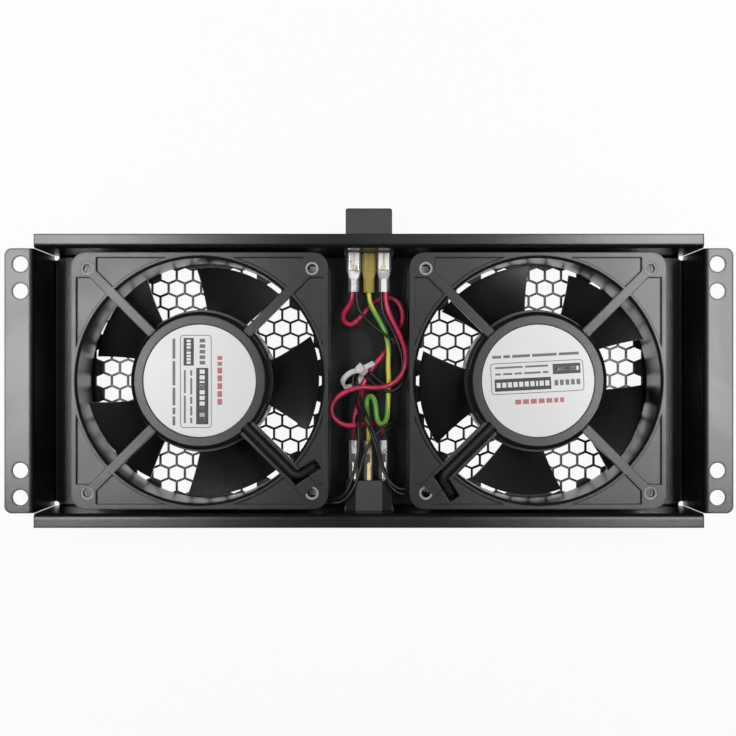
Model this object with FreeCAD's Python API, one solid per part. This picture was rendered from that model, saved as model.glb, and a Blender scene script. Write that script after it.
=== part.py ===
"""Roof fan tray for a network cabinet: a folded steel pan with two honeycomb vents, two 120 mm
mains fans lying side by side, and a wiring bay between them that links a power inlet to an outlet.

X runs along the tray, Y across it, and Z up. The origin is the middle of the floor's underside, on
which the tray stands. The power inlet points to +Y and the outlet to -Y.
"""
import FreeCAD, Part
import math
import os

V = FreeCAD.Vector
UP = V(0, 0, 1)
ORIGIN = V(0, 0, 0)

# ---------------------------------------------------------------- driving dimensions, millimetres
# sheet-metal pan
sheet = 1.2                 # steel thickness
bend_radius = 1.0           # inside radius of every fold
pan_length = 310.0          # between the inner faces of the end walls
pan_width = 123.0           # between the inner faces of the long walls
pan_height = 45.0           # underside of the floor to the top of the flanges
rim_flange = 6.5            # reach of a long flange from the wall's inner face
ear_reach = 13.5            # reach of an ear from the end wall's inner face
ear_corner = 3.4            # radius of an ear's outer corners
end_gap = 0.2               # slit between an end wall and a long wall
corner_relief = 1.5         # radius of the relief hole where two folds meet
ear_hole_radius = 3.6
ear_hole_inset = 7.3        # ear hole centre from the ear's outer edge
ear_hole_outer = 54.0       # from the tray's centre line
ear_hole_inner = 41.5
# honeycomb vents
cell_pitch = 8.03           # along a row
cell_row = 6.53             # between rows
cell_web = 1.1
cell_point = 4.1            # half height of a cell, point to point, web included
vent_radius = 59.0          # the furthest cell centre from the fan's axis
vent_side = 118.0           # no cell reaches past the fan that stands on it
# fans
fan_spacing = 158.0         # between the two axes
fan_side = 120.0
fan_depth = 38.0
fan_corner = 7.0
fan_flange = 4.5
bore_radius = 57.3
bore_wall = 2.3
flare = 1.2                 # bevel at the upper end of the bore
intake_flare = 3.6          # how far the bore opens towards the corners at its lower end
intake_height = 5.0
intake_wall = 1.2           # left at the middle of each side
rim_width = 2.4
recess_depth = 1.8
lip_width = 2.4
hole_pitch = 104.8
hole_radius = 2.2
hole_bevel = 0.9
pad_side = 11.7             # corner pad, from the rim's outer edge
strut_width = 4.4
strut_height = 4.6
channel_width = 8.4         # the strut that carries the leads
channel_groove = 5.2
channel_floor = 1.0
channel_end = 66.4          # from the fan's axis
lead_slot_reach = 12.0      # length of the slot through the flange that the sleeve dives into
# motor
hub_radius = 32.3
hub_depth = 9.0
hub_edge = 1.8
hub_wall = 2.2
hub_plate = 4.0
label_radius = 26.2
label_thick = 0.25
label_recess = 0.5
label_play = 0.3
bearing_tube_radius = 6.5
bearing_radius = 4.5
bearing_length = 6.5
shaft_radius = 2.5
running_clearance = 0.04
stator_radius = 24.2
stator_stack = 12.0
stator_low = 9.0            # underside of the stack above the fan's lower face
yoke_radius = 10.0
pole_width = 9.0
pole_shoe = 3.2
slot_opening = 3.0
coil_build = 3.2            # winding beside a pole
coil_overhang = 2.4         # winding above and below the stack
coil_reach = 18.5
air_gap = 0.5
rotor_ring_wall = 5.4
cup_wall = 1.2
rotor_base = 2.4            # rotor's closed end above the fan's lower face
rotor_room = 1.6            # between the rotor's top and the motor housing
boss_radius = 5.0
boss_height = 2.6
impeller_band = 2.4
circlip_radius = 4.0
circlip_thick = 0.7
circlip_groove = 0.5
# blades
blade_count = 5
blade_tip = 55.0
blade_root_sink = 0.6       # how far a blade runs into the band
blade_thick = 1.8
blade_low = 4.6             # lower edge above the fan's lower face
blade_rise = 20.0
blade_root_span = 38.0      # degrees of plan angle
blade_tip_span = 49.0
left_rotor_turn = 71.0      # a blade's centre line at rest, degrees
right_rotor_turn = 45.5
# screws and nuts
screw_radius = 1.95
screw_head_radius = 3.9
screw_head = 2.2
screw_length = 12.0
nut_flats = 7.0
nut_height = 3.2
# power couplers
coupler_height = 22.0       # middle of both couplers above the floor's underside
coupler_width = 22.0
coupler_tall = 16.5
coupler_cut = 4.8           # corners cut off the coupler outline
coupler_flange = 1.6
coupler_rim = 2.0
coupler_play = 0.15
coupler_bevel = 0.8
latch_reach = 0.9
latch_length = 3.0
inlet_reach = 19.0
inlet_wall = 1.8
coupler_base = 3.6          # solid end that holds the pins
outlet_depth = 14.2
pole_pitch = 7.15
pole_offset = 2.0           # earth sits this far off the middle on one side, live and neutral on the other
inlet_up = -1               # the inlet's earth pole is the lower one
outlet_up = 1               # the outlet's earth pole is the upper one
pin_width = 2.0
pin_tall = 4.0
pin_length = 14.0
socket_depth = 11.5
socket_play = 0.15
tab_width = 4.8
tab_thick = 0.8
tab_length = 8.0
# crimped receptacles on the tabs
grip_width = 6.0
grip_thick = 2.6
grip_length = 8.4
grip_roll = 0.9             # radius of its rolled edges
shoulder_length = 4.0
shoulder_thick = 0.7
dimple_radius = 0.8
dimple_inset = 1.6          # middle of the dimple from the grip's rear end
barrel_width = 4.2
barrel_thick = 3.2
barrel_length = 6.4
tab_play = 0.05
boot_wall = 0.3
boot_play = 0.15
# wires
mains_wire = 2.4            # diameter over the insulation
fan_wire = 1.5
seat_clearance = 0.05       # round a countersunk head
bearing_head = 2.6          # room above the upper bearing
circlip_gap = 0.3
shaft_end_gap = 0.6
coil_play = 0.2
blade_camber = 1.6
blade_belly_place = 0.45    # where the middle section lies between root and tip
blade_belly_span = 43.0
driver_radius = 1.3
driver_depth = 1.2
inlet_stand = 0.4           # base of the inlet, inside the wall's inner face
contact_wall = 0.4
contact_length = 5.0
seam_width = 0.5
barrel_bevel = 0.8
boot_back = 0.3
wire_share = 0.45           # of the shorter run, taken by an arc
sleeve_radius = 1.9         # black sleeve over the leads in their channel
sleeve_start = 29.8         # from the fan's axis
sleeve_corner = 63.9        # where it bends, from the fan's axis
sleeve_dive = (7.5, 4.8, -5.0)  # its last run
sleeve_share = 0.36         # of its last run, taken by its bend
tie_inner = 4.7             # cable tie
tie_thick = 1.0
tie_width = 2.4
tie_head = 4.2
tie_head_tall = 3.2
tie_tail = 6.5
tie_tail_turn = -30.0       # degrees
tie_centre = (-8.0, 0.85, 26.0)
tie_along = (0.70, 0.69, 0.20)  # in the tie's plane, towards its head
tie_axis = (0.50, -0.665, 0.55)

# ---------------------------------------------------------------- derived places
floor_top = sheet
half_length = pan_length / 2
half_width = pan_width / 2
fan_base = floor_top
hub_low = fan_depth - hub_depth
plate_low = fan_depth - hub_plate
strut_low = fan_depth - strut_height
rotor_top = hub_low - rotor_room
rotor_height = rotor_top - rotor_base
stator_high = stator_low + stator_stack
ring_inner = stator_radius + air_gap
cup_inner = ring_inner + rotor_ring_wall
cup_outer = cup_inner + cup_wall
band_outer = cup_outer + impeller_band
cup_floor = rotor_base + cup_wall
bearing_low = cup_floor + boss_height + air_gap


# ---------------------------------------------------------------- small helpers
def box(low, high):
    """A block between two corners."""
    return Part.makeBox(high[0] - low[0], high[1] - low[1], high[2] - low[2], V(*low))


def tube_solid(outer, inner, low, high, centre=ORIGIN):
    """An upright ring."""
    at = V(centre.x, centre.y, low)
    return Part.makeCylinder(outer, high - low, at).cut(Part.makeCylinder(inner, high - low, at))


def rounded_square(side, radius, low, high):
    """An upright square block with rounded corners, centred on the axis."""
    half = side / 2
    block = box((-half, -half, low), (half, half, high))
    upright = [e for e in block.Edges if abs(e.tangentAt(e.FirstParameter).z) > 0.9]
    return block.makeFillet(radius, upright)


def polygon_face(points):
    """A flat face inside a list of corners."""
    return Part.Face(Part.makePolygon(list(points) + [points[0]]))


def turned(shape, degrees, axis=UP, about=ORIGIN):
    """A rotated copy."""
    copy = shape.copy()
    copy.rotate(about, axis, degrees)
    return copy


def moved(shape, x=0.0, y=0.0, z=0.0):
    """A shifted copy."""
    copy = shape.copy()
    copy.translate(V(x, y, z))
    return copy


def folded_face(start, heading, moves, place):
    """The cross-section of a folded sheet. The path follows the sheet's left face.

    Each move is ("run", length) or ("fold", degrees), and a positive fold turns left. place maps
    the section's two coordinates to space.
    """
    angle = math.radians(heading)
    at = V(start[0], start[1], 0)
    left_edges, right_edges = [], []

    def across(a):
        return V(math.sin(a), -math.cos(a), 0)

    for kind, value in moves:
        if kind == "run":
            end = at + V(math.cos(angle), math.sin(angle), 0) * value
            left_edges.append((at, None, end))
            shift = across(angle) * sheet
            right_edges.append((at + shift, None, end + shift))
            at = end
            continue
        turn = math.radians(value)
        near = bend_radius if turn > 0 else bend_radius + sheet
        far = bend_radius + sheet if turn > 0 else bend_radius
        side = -1 if turn > 0 else 1
        centre = at + across(angle) * (side * near)
        for radius, edges in ((near, left_edges), (far, right_edges)):
            points = [centre - across(angle + turn * share) * (side * radius) for share in (0, 0.5, 1)]
            edges.append(tuple(points))
        angle += turn
        at = left_edges[-1][2]
    outline = left_edges + [(left_edges[-1][2], None, right_edges[-1][2])]
    outline += [(c, b, a) for a, b, c in reversed(right_edges)]
    outline += [(right_edges[0][0], None, left_edges[0][0])]
    edges = []
    for a, b, c in outline:
        a, c = place(a.x, a.y), place(c.x, c.y)
        if b is None:
            edges.append(Part.LineSegment(a, c).toShape())
        else:
            edges.append(Part.Arc(a, place(b.x, b.y), c).toShape())
    return Part.Face(Part.Wire(edges))


# ---------------------------------------------------------------- the pan
def cell_wire(x, y):
    """One honeycomb hole, point upwards."""
    half = (cell_pitch - cell_web) / 2
    slope = math.atan2(2 * cell_point - cell_row, cell_pitch / 2)
    drop = cell_web / 2 / math.cos(slope)
    top = cell_point - drop
    shoulder = top - half * math.tan(slope)
    points = [(0, top), (half, shoulder), (half, -shoulder), (0, -top), (-half, -shoulder), (-half, shoulder)]
    corners = [V(x + px, y + py, 0) for px, py in points]
    return Part.makePolygon(corners + [corners[0]])


def vent_wires(fan_x):
    """The honeycomb under one fan, as many cells as its circle holds."""
    wires = []
    rows = int(vent_radius // cell_row) + 1
    columns = int(vent_radius // cell_pitch) + 2
    for row in range(-rows, rows + 1):
        shift = 0.5 if row % 2 == 0 else 0.0
        for column in range(-columns, columns + 1):
            x, y = (column + shift) * cell_pitch, row * cell_row
            beside = vent_side / 2 - cell_pitch / 2, vent_side / 2 - cell_point
            if math.hypot(x, y) <= vent_radius and abs(x) <= beside[0] and abs(y) <= beside[1]:
                wires.append(cell_wire(fan_x + x, y))
    return wires


def screw_seats(grow):
    """Cones for all the countersunk screw heads, wider than the heads by grow."""
    slope = (screw_head_radius - screw_radius) / screw_head
    low, high = screw_head_radius + grow, screw_head_radius + grow - slope * sheet
    return [moved(Part.makeCone(low, high, sheet), x, y) for x, y in screw_places()]


def screw_places():
    """Where the eight fan screws stand."""
    places = []
    for fan_x in (-fan_spacing / 2, fan_spacing / 2):
        for sx in (-1, 1):
            for sy in (-1, 1):
                places.append((fan_x + sx * hole_pitch / 2, sy * hole_pitch / 2))
    return places


def floor_outline():
    """The floor's outline between the folds, with a relief notch at each corner."""
    x, y = half_length - bend_radius, half_width - bend_radius
    inset = bend_radius / 2
    reach = math.sqrt(corner_relief ** 2 - inset ** 2) - inset
    belly = corner_relief / math.sqrt(2) - inset
    edges = []
    last = None
    first = None
    for sx, sy in ((1, 1), (-1, 1), (-1, -1), (1, -1)):
        ends = [V(sx * x, sy * (y - reach), 0), V(sx * (x - reach), sy * y, 0)]
        if sx * sy < 0:
            ends.reverse()
        if last is not None:
            edges.append(Part.LineSegment(last, ends[0]).toShape())
        else:
            first = ends[0]
        edges.append(Part.Arc(ends[0], V(sx * (x - belly), sy * (y - belly), 0), ends[1]).toShape())
        last = ends[1]
    edges.append(Part.LineSegment(last, first).toShape())
    return Part.Wire(edges)


def floor_plate():
    """The pan's flat floor with both vents and the countersunk fan screw holes."""
    slope = (screw_head_radius - screw_radius) / screw_head
    neck = screw_head_radius + seat_clearance - slope * sheet
    holes = vent_wires(-fan_spacing / 2) + vent_wires(fan_spacing / 2)
    holes += [Part.Wire(Part.makeCircle(neck, V(x, y, 0))) for x, y in screw_places()]
    for wire in holes:
        wire.reverse()
    face = Part.Face([floor_outline()] + holes)
    face.validate()
    return face.extrude(V(0, 0, sheet)).cut(screw_seats(seat_clearance))


def corner_reliefs():
    """The round relief holes, at the pan's four corners."""
    x, y = half_length - bend_radius / 2, half_width - bend_radius / 2
    tall = 3 * sheet
    places = [V(sx * x, sy * y, -sheet) for sx in (-1, 1) for sy in (-1, 1)]
    return [Part.makeCylinder(corner_relief, tall, place) for place in places]


def coupler_block(grow, near, far, up):
    """The couplers' outline, wider all round by grow, drawn out along Y.

    The two corners beside the earth pole are cut off. They are the upper ones when up is 1, and the
    lower ones when it is -1.
    """
    x, z = coupler_width / 2 + grow, coupler_tall / 2 + grow
    cut = coupler_cut + grow * (2 - math.sqrt(2))
    outline = [(-x, -z), (x, -z), (x, z - cut), (x - cut, z), (cut - x, z), (-x, z - cut)]
    face = polygon_face([V(px, near, coupler_height + up * pz) for px, pz in outline])
    return face.extrude(V(0, far - near, 0))


def long_wall(side):
    """A long wall with its outward flange, the fold to the floor and the opening for its coupler."""
    rise = pan_height - 2 * (sheet + bend_radius)
    reach = rim_flange - sheet - bend_radius
    section = folded_face(
        (half_width - bend_radius, floor_top), 0,
        [("fold", 90), ("run", rise), ("fold", -90), ("run", reach)],
        lambda u, v: V(-half_length, u, v),
    )
    wall = section.extrude(V(pan_length, 0, 0))
    up = inlet_up if side > 0 else outlet_up
    cuts = corner_reliefs()
    cuts.append(coupler_block(coupler_play, half_width - sheet, half_width + 2 * sheet, up))
    wall = wall.cut(cuts)
    return wall if side > 0 else turned(wall, 180)


def end_wall(side):
    """An end wall with its ear and the fold that joins it to the floor."""
    rise = pan_height - 2 * (sheet + bend_radius)
    reach = ear_reach - sheet - bend_radius
    half = half_width - end_gap
    section = folded_face(
        (half_length - bend_radius, floor_top), 0,
        [("fold", 90), ("run", rise), ("fold", -90), ("run", reach)],
        lambda u, v: V(u, -half, v),
    )
    wall = section.extrude(V(0, 2 * half, 0))
    tip = half_length + ear_reach
    corners = []
    for edge in wall.Edges:
        upright = edge.BoundBox.ZLength > sheet / 2
        if upright and edge.BoundBox.XMin > tip - sheet / 2:
            corners.append(edge)
    wall = wall.makeFillet(ear_corner, corners)
    cuts = corner_reliefs()
    for y in (-ear_hole_outer, -ear_hole_inner, ear_hole_inner, ear_hole_outer):
        low = V(tip - ear_hole_inset, y, pan_height - 2 * sheet)
        cuts.append(Part.makeCylinder(ear_hole_radius, 3 * sheet, low))
    wall = wall.cut(cuts)
    return wall if side > 0 else turned(wall, 180)


def tray_pan():
    """The whole folded pan."""
    return floor_plate().fuse([long_wall(1), long_wall(-1), end_wall(1), end_wall(-1)])


# ---------------------------------------------------------------- fan frame, about its own axis
def corner_pockets(struts):
    """The shallow pockets in the upper flange, between the rim, the lip, the corner pads and the struts."""
    half = fan_side / 2 - rim_width
    low, high = fan_depth - recess_depth, fan_depth + 1
    pocket = box((-half, -half, low), (half, half, high))
    pocket = pocket.cut(Part.makeCylinder(bore_radius + lip_width, 2 * fan_depth))
    pads = []
    inner = fan_side / 2 - pad_side
    for sx in (-1, 1):
        for sy in (-1, 1):
            pad = box((inner, inner, 0), (fan_side / 2, fan_side / 2, 2 * fan_depth))
            pads.append(turned(pad, math.degrees(math.atan2(sy, sx)) - 45))
    return pocket.cut(pads + struts)


def spoke(width, high):
    """A strut from the motor housing to a corner pad, pointing along +X."""
    reach = math.sqrt(2) * (fan_side / 2 - pad_side) + width / 2
    return box((hub_radius - hub_wall / 2, -width / 2, strut_low), (reach, width / 2, high))


def all_spokes(high):
    """Three plain struts, and a wider one at -45 degrees for the lead channel."""
    plain = spoke(strut_width, high)
    return [turned(plain, a) for a in (45, 135, 225)] + [turned(spoke(channel_width, high), -45)]


def intake():
    """The lower end of the bore, which opens towards the corners."""
    cone = Part.makeCone(bore_radius + intake_flare, bore_radius, intake_height)
    half = fan_side / 2 - intake_wall
    return cone.common(box((-half, -half, 0), (half, half, intake_height)))


def motor_housing():
    """The cup that closes the motor at the top, with its label recess and the bearing tube."""
    housing = Part.makeCylinder(hub_radius, hub_depth, V(0, 0, hub_low))
    housing = housing.makeChamfer(hub_edge, [e for e in housing.Edges if e.BoundBox.ZMin > fan_depth - 0.01])
    housing = housing.cut(Part.makeCylinder(hub_radius - hub_wall, plate_low - hub_low, V(0, 0, hub_low)))
    recess = Part.makeCylinder(label_radius + label_play, label_recess + 1, V(0, 0, fan_depth - label_recess))
    housing = housing.cut(recess)
    post = Part.makeCylinder(bearing_tube_radius, plate_low - bearing_low, V(0, 0, bearing_low))
    bore = Part.makeCylinder(bearing_radius, plate_low - bearing_low, V(0, 0, bearing_low))
    return housing.fuse(post).cut(bore)


def sleeve_route():
    """The sleeve's way: along the channel, then round a tight bend and down through the flange."""
    height = strut_low + channel_floor + sleeve_radius
    along = 1 / math.sqrt(2)
    start = V(sleeve_start * along, -sleeve_start * along, height)
    corner = V(sleeve_corner * along, -sleeve_corner * along, height)
    return [start, corner, corner + V(*sleeve_dive)]


def lead_slot():
    """The groove for the sleeve, over the bore's wall, and the slot through the flange at its end."""
    half = channel_groove / 2
    groove = box((sleeve_start, -half, strut_low + channel_floor), (channel_end, half, fan_depth + 1))
    slot = box((-half, -half, fan_depth - fan_flange - 1), (lead_slot_reach, half, fan_depth + 1))
    corner = sleeve_route()[1]
    slot = turned(slot, math.degrees(math.atan2(sleeve_dive[1], sleeve_dive[0])))
    slot = moved(slot, corner.x, corner.y).cut(Part.makeCylinder(bore_radius + bore_wall / 2, 2 * fan_depth))
    return [turned(groove, -45), slot]


def fan_frame():
    """The die-cast frame. Its lead channel points down to the right, at -45 degrees."""
    low = rounded_square(fan_side, fan_corner, 0, fan_flange)
    high = rounded_square(fan_side, fan_corner, fan_depth - fan_flange, fan_depth)
    body = Part.makeCylinder(bore_radius + bore_wall, fan_depth).fuse([low, high])
    cuts = [Part.makeCylinder(bore_radius, fan_depth), intake()]
    cuts.append(Part.makeCone(bore_radius, bore_radius + flare, flare, V(0, 0, fan_depth - flare)))
    cuts.append(corner_pockets(all_spokes(fan_depth + 1)))
    half = hole_pitch / 2
    slope = (screw_head_radius - screw_radius) / screw_head
    seat_top = screw_head_radius + seat_clearance - slope * sheet
    seat_depth = (seat_top - hole_radius) / slope
    for sx in (-1, 1):
        for sy in (-1, 1):
            at = V(sx * half, sy * half, 0)
            cuts.append(Part.makeCylinder(hole_radius, fan_depth, at))
            cuts.append(Part.makeCone(seat_top, hole_radius, seat_depth, at))
            bevel = Part.makeCone(hole_radius, hole_radius + hole_bevel, hole_bevel)
            cuts.append(moved(bevel, at.x, at.y, fan_depth - hole_bevel))
    body = body.cut(cuts)
    return body.fuse(all_spokes(fan_depth) + [motor_housing()]).cut(lead_slot())


# ---------------------------------------------------------------- motor and rotor, about the fan's axis
def hub_label():
    """The thin round label on the motor housing."""
    return Part.makeCylinder(label_radius, label_thick, V(0, 0, fan_depth - label_recess))


def bearings():
    """The two sleeve bearings, pressed into the ends of the bearing tube."""
    sleeves = []
    for low in (bearing_low, plate_low - bearing_head - bearing_length):
        high = low + bearing_length
        sleeves.append(tube_solid(bearing_radius, shaft_radius + running_clearance, low, high))
    return Part.Compound(sleeves)


def stator_core():
    """The laminated core with four poles on the bearing tube."""
    core = tube_solid(stator_radius, bearing_tube_radius, stator_low, stator_high)
    shoe_inner = stator_radius - pole_shoe
    pocket = tube_solid(shoe_inner, yoke_radius, stator_low, stator_high)
    length = stator_radius + 1
    poles = box((-length, -pole_width / 2, stator_low), (length, pole_width / 2, stator_high))
    pocket = pocket.cut([poles, turned(poles, 90)])
    slit = box((shoe_inner - 1, -slot_opening / 2, stator_low), (length, slot_opening / 2, stator_high))
    slits = [turned(slit, a) for a in (45, 135, 225, 315)]
    return core.cut([pocket] + slits)


def stator_coils():
    """The four windings, one round each pole."""
    coils = []
    for angle in (0, 90, 180, 270):
        wide = pole_width / 2 + coil_build
        start = yoke_radius + coil_play
        outer = box((start, -wide, stator_low - coil_overhang), (coil_reach, wide, stator_high + coil_overhang))
        inner = box((start, -pole_width / 2, stator_low), (coil_reach, pole_width / 2, stator_high))
        coils.append(turned(outer.cut(inner), angle))
    return Part.Compound(coils)


def rotor_shaft():
    """The shaft, pressed into the cup's boss, with a groove for its retaining ring."""
    top = plate_low - shaft_end_gap
    shaft = Part.makeCylinder(shaft_radius, top - rotor_base, V(0, 0, rotor_base))
    shaft = shaft.makeChamfer(circlip_groove, [e for e in shaft.Edges if e.BoundBox.ZMin > top - 0.01])
    low, high = circlip_low(), circlip_low() + circlip_thick
    groove = tube_solid(shaft_radius + 1, shaft_radius - circlip_groove, low, high)
    return shaft.cut(groove)


def circlip_low():
    """Underside of the retaining ring, just above the upper bearing."""
    return plate_low - bearing_head + circlip_gap


def circlip():
    """The split ring that keeps the shaft in its bearings."""
    low, high = circlip_low(), circlip_low() + circlip_thick
    ring = tube_solid(circlip_radius, shaft_radius - circlip_groove, low, high)
    mouth = box((0, -circlip_groove, 0), (2 * circlip_radius, circlip_groove, fan_depth))
    return ring.cut(mouth)


def rotor_cup():
    """The drawn steel cup that turns round the stator, with the boss that holds the shaft."""
    cup = Part.makeCylinder(cup_outer, rotor_height, V(0, 0, rotor_base))
    cup = cup.cut(Part.makeCylinder(cup_inner, rotor_height, V(0, 0, cup_floor)))
    boss = Part.makeCylinder(boss_radius, boss_height, V(0, 0, cup_floor))
    return cup.fuse(boss).cut(Part.makeCylinder(shaft_radius, fan_depth))


def rotor_ring():
    """The cage of the rotor, pressed into the cup beside the stator."""
    return tube_solid(cup_inner, ring_inner, stator_low, stator_high)


def blade(angle):
    """One blade. Its edges curve in plan, and its slope falls from the root to the tip."""
    curves = []
    root = band_outer - blade_root_sink
    middle = root + (blade_tip - root) * blade_belly_place
    spans = (blade_root_span, blade_belly_span, blade_tip_span)
    for radius, span in zip((root, middle, blade_tip), spans):
        half = math.radians(span / 2)
        points = []
        for share in (-1, 0, 1):
            height = blade_low + blade_rise * (1 - share) / 2 + blade_camber * (1 - abs(share))
            points.append(V(radius * math.cos(share * half), radius * math.sin(share * half), height))
        curves.append(Part.Wire([Part.Arc(*points).toShape()]))
    skin = Part.makeLoft(curves, False, False)
    return turned(skin.Faces[0].extrude(V(0, 0, blade_thick)), angle)


def impeller(turn):
    """The moulded impeller: a band round the rotor cup, and five blades."""
    band = tube_solid(band_outer, cup_outer, rotor_base, rotor_top)
    blades = [blade(turn + 360 / blade_count * i) for i in range(blade_count)]
    core = Part.makeCylinder(cup_outer, fan_depth)
    return band.fuse(blades).cut(core)


def lead_sleeve():
    """The sleeve over both leads, lying in the channel of its strut and diving through the flange."""
    return round_tube(sleeve_route(), 2 * sleeve_radius, sleeve_share)[0]


# ---------------------------------------------------------------- screws and nuts
def fan_screws():
    """Four countersunk screws, heads in the floor."""
    screws = []
    for sx in (-1, 1):
        for sy in (-1, 1):
            screw = Part.makeCone(screw_head_radius, screw_radius, screw_head)
            shank = Part.makeCylinder(screw_radius, screw_length - screw_head, V(0, 0, screw_head))
            screw = screw.fuse(shank)
            socket = Part.makeCylinder(driver_radius, driver_depth)
            screws.append(moved(screw.cut(socket), sx * hole_pitch / 2, sy * hole_pitch / 2))
    return Part.Compound(screws)


def fan_nuts():
    """Four hexagon nuts on the lower flange."""
    nuts = []
    radius = nut_flats / math.sqrt(3)
    low = floor_top + fan_flange
    corners = [V(radius * math.cos(math.radians(60 * i)), radius * math.sin(math.radians(60 * i)), low)
               for i in range(6)]
    nut = polygon_face(corners).extrude(V(0, 0, nut_height))
    nut = nut.cut(Part.makeCylinder(screw_radius, 2 * fan_depth))
    for sx in (-1, 1):
        for sy in (-1, 1):
            nuts.append(moved(nut, sx * hole_pitch / 2, sy * hole_pitch / 2))
    return Part.Compound(nuts)


# ---------------------------------------------------------------- power couplers, drawn for the +Y side
def pole_places(up):
    """Live, earth and neutral of a coupler, as x and z."""
    plain, earth = coupler_height - up * pole_offset, coupler_height + up * pole_offset
    return ((-pole_pitch, plain), (0.0, earth), (pole_pitch, plain))


def pole_block(width, tall, near, far, up):
    """A block round each pole's axis, from near to far along Y."""
    blocks = []
    for x, z in pole_places(up):
        blocks.append(box((x - width / 2, near, z - tall / 2), (x + width / 2, far, z + tall / 2)))
    return blocks


def latches():
    """The two snap noses inside the wall, one on each side of a coupler."""
    tall = coupler_tall / 4
    noses = []
    wall = half_width
    for side in (-1, 1):
        x = side * (coupler_width / 2 - 0.01)
        tip = side * (coupler_width / 2 + latch_reach)
        low = coupler_height - tall
        nose = polygon_face([V(x, wall, low), V(tip, wall, low), V(x, wall - latch_length, low)])
        noses.append(nose.extrude(V(0, 0, 2 * tall)))
    return noses


def coupler_flange_plate(up):
    """The rim that lies on the outside of the wall."""
    outside = half_width + sheet
    return coupler_block(coupler_rim, outside, outside + coupler_flange, up)


def bevelled(block, face_y):
    """The same block with the edges of one end bevelled."""
    rim = [e for e in block.Edges if e.BoundBox.YMin > face_y - 0.01]
    return block.makeChamfer(coupler_bevel, rim)


def inlet_body():
    """The shroud of the power inlet, open to +Y, with a solid base at the wall."""
    mouth = half_width + sheet + inlet_reach
    base = half_width - inlet_stand
    body = bevelled(coupler_block(0, base, mouth, inlet_up), mouth)
    body = body.fuse([coupler_flange_plate(inlet_up)] + latches())
    body = body.cut(coupler_block(-inlet_wall, base + coupler_base, mouth + 1, inlet_up))
    pins = pole_block(pin_width, pin_tall, base + coupler_base / 2, base + coupler_base, inlet_up)
    tabs = pole_block(tab_width, tab_thick, base - 1, base + coupler_base / 2, inlet_up)
    return body.cut(pins + tabs)


def inlet_pins():
    """Three pins in the shroud, each with a flat tab on the inside of the tray."""
    base = half_width - inlet_stand
    middle = base + coupler_base / 2
    pins = pole_block(pin_width, pin_tall, middle, base + coupler_base + pin_length, inlet_up)
    tabs = pole_block(tab_width, tab_thick, base - tab_length, middle, inlet_up)
    return Part.Compound([pin.fuse(tab) for pin, tab in zip(pins, tabs)])


def outlet_body():
    """The outlet, snapped in from outside, with three sockets open to -Y. Drawn for the +Y side."""
    face = half_width + sheet + coupler_flange
    back = half_width - outlet_depth
    body = coupler_block(0, back, face, outlet_up).fuse([coupler_flange_plate(outlet_up)] + latches())
    wide, tall = pin_width + 2 * socket_play, pin_tall + 2 * socket_play
    low = face - socket_depth
    sockets = pole_block(wide, tall, low, face + 1, outlet_up)
    tabs = pole_block(tab_thick, tab_width, back - 1, low, outlet_up)
    rooms = pole_block(wide + 2 * contact_wall, tall + 2 * contact_wall, low, low + contact_length, outlet_up)
    return body.cut(sockets + tabs + rooms)


def outlet_contacts():
    """Three box contacts in the outlet, each with an upright tab on the inside of the tray."""
    face = half_width + sheet + coupler_flange
    back = half_width - outlet_depth
    wide, tall = pin_width + 2 * socket_play, pin_tall + 2 * socket_play
    low = face - socket_depth
    boxes = pole_block(wide + 2 * contact_wall, tall + 2 * contact_wall, low, low + contact_length, outlet_up)
    rooms = pole_block(wide, tall, low + contact_wall, low + contact_length, outlet_up)
    tabs = pole_block(tab_thick, tab_width, back - tab_length, low, outlet_up)
    return Part.Compound([b.cut(r).fuse(t) for b, r, t in zip(boxes, rooms, tabs)])


def waisted_outline(grow, start, end):
    """The plan of a receptacle: a wide grip, a shoulder and a narrow barrel, wider by grow."""
    wide, narrow = grip_width / 2 + grow, barrel_width / 2 + grow
    shoulder = -grip_length
    waist = shoulder - shoulder_length
    half = [(wide, start), (wide, shoulder), (narrow, waist), (narrow, end)]
    return [V(x, y, 0) for x, y in half] + [V(-x, y, 0) for x, y in reversed(half)]


def receptacle():
    """A crimped receptacle. Its mouth lies on the X-Z plane, and its wire leaves towards -Y."""
    half = grip_thick / 2
    end = -grip_length - shoulder_length - barrel_length
    grip = box((-grip_width / 2, -grip_length, -half), (grip_width / 2, 0, half))
    rolls = [e for e in grip.Edges if e.BoundBox.YLength > grip_length / 2]
    grip = grip.makeFillet(grip_roll, rolls)
    slot = box((-tab_width / 2 - tab_play, -tab_length, -tab_thick / 2 - tab_play),
               (tab_width / 2 + tab_play, 0, tab_thick / 2 + tab_play))
    seam = box((-seam_width / 2, -grip_length, 0), (seam_width / 2, 0, half))
    dimple = Part.makeCylinder(dimple_radius, half, V(0, dimple_inset - grip_length, 0))
    plate = polygon_face(waisted_outline(0, dimple_inset - grip_length, end)).extrude(V(0, 0, shoulder_thick))
    wide = barrel_width / 2
    barrel = box((-wide, end, -half), (wide, end + barrel_length, barrel_thick - half))
    crease = [e for e in barrel.Edges if e.BoundBox.YLength > barrel_length / 2]
    barrel = barrel.makeChamfer(barrel_bevel, crease)
    return grip.cut([slot, seam, dimple]).fuse([moved(plate, z=-half), barrel])


def boot():
    """The thin sleeve over a receptacle, drawn in at its shoulder. Its ends are open."""
    low, high = -grip_thick / 2 - boot_play, barrel_thick - grip_thick / 2 + boot_play
    end = -grip_length - shoulder_length - barrel_length
    outer = polygon_face(waisted_outline(boot_play + boot_wall, -boot_back, end))
    inner = polygon_face(waisted_outline(boot_play, -boot_back, end))
    outer = moved(outer.extrude(V(0, 0, high - low + 2 * boot_wall)), z=low - boot_wall)
    return outer.cut(moved(inner.extrude(V(0, 0, high - low)), z=low))


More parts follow.
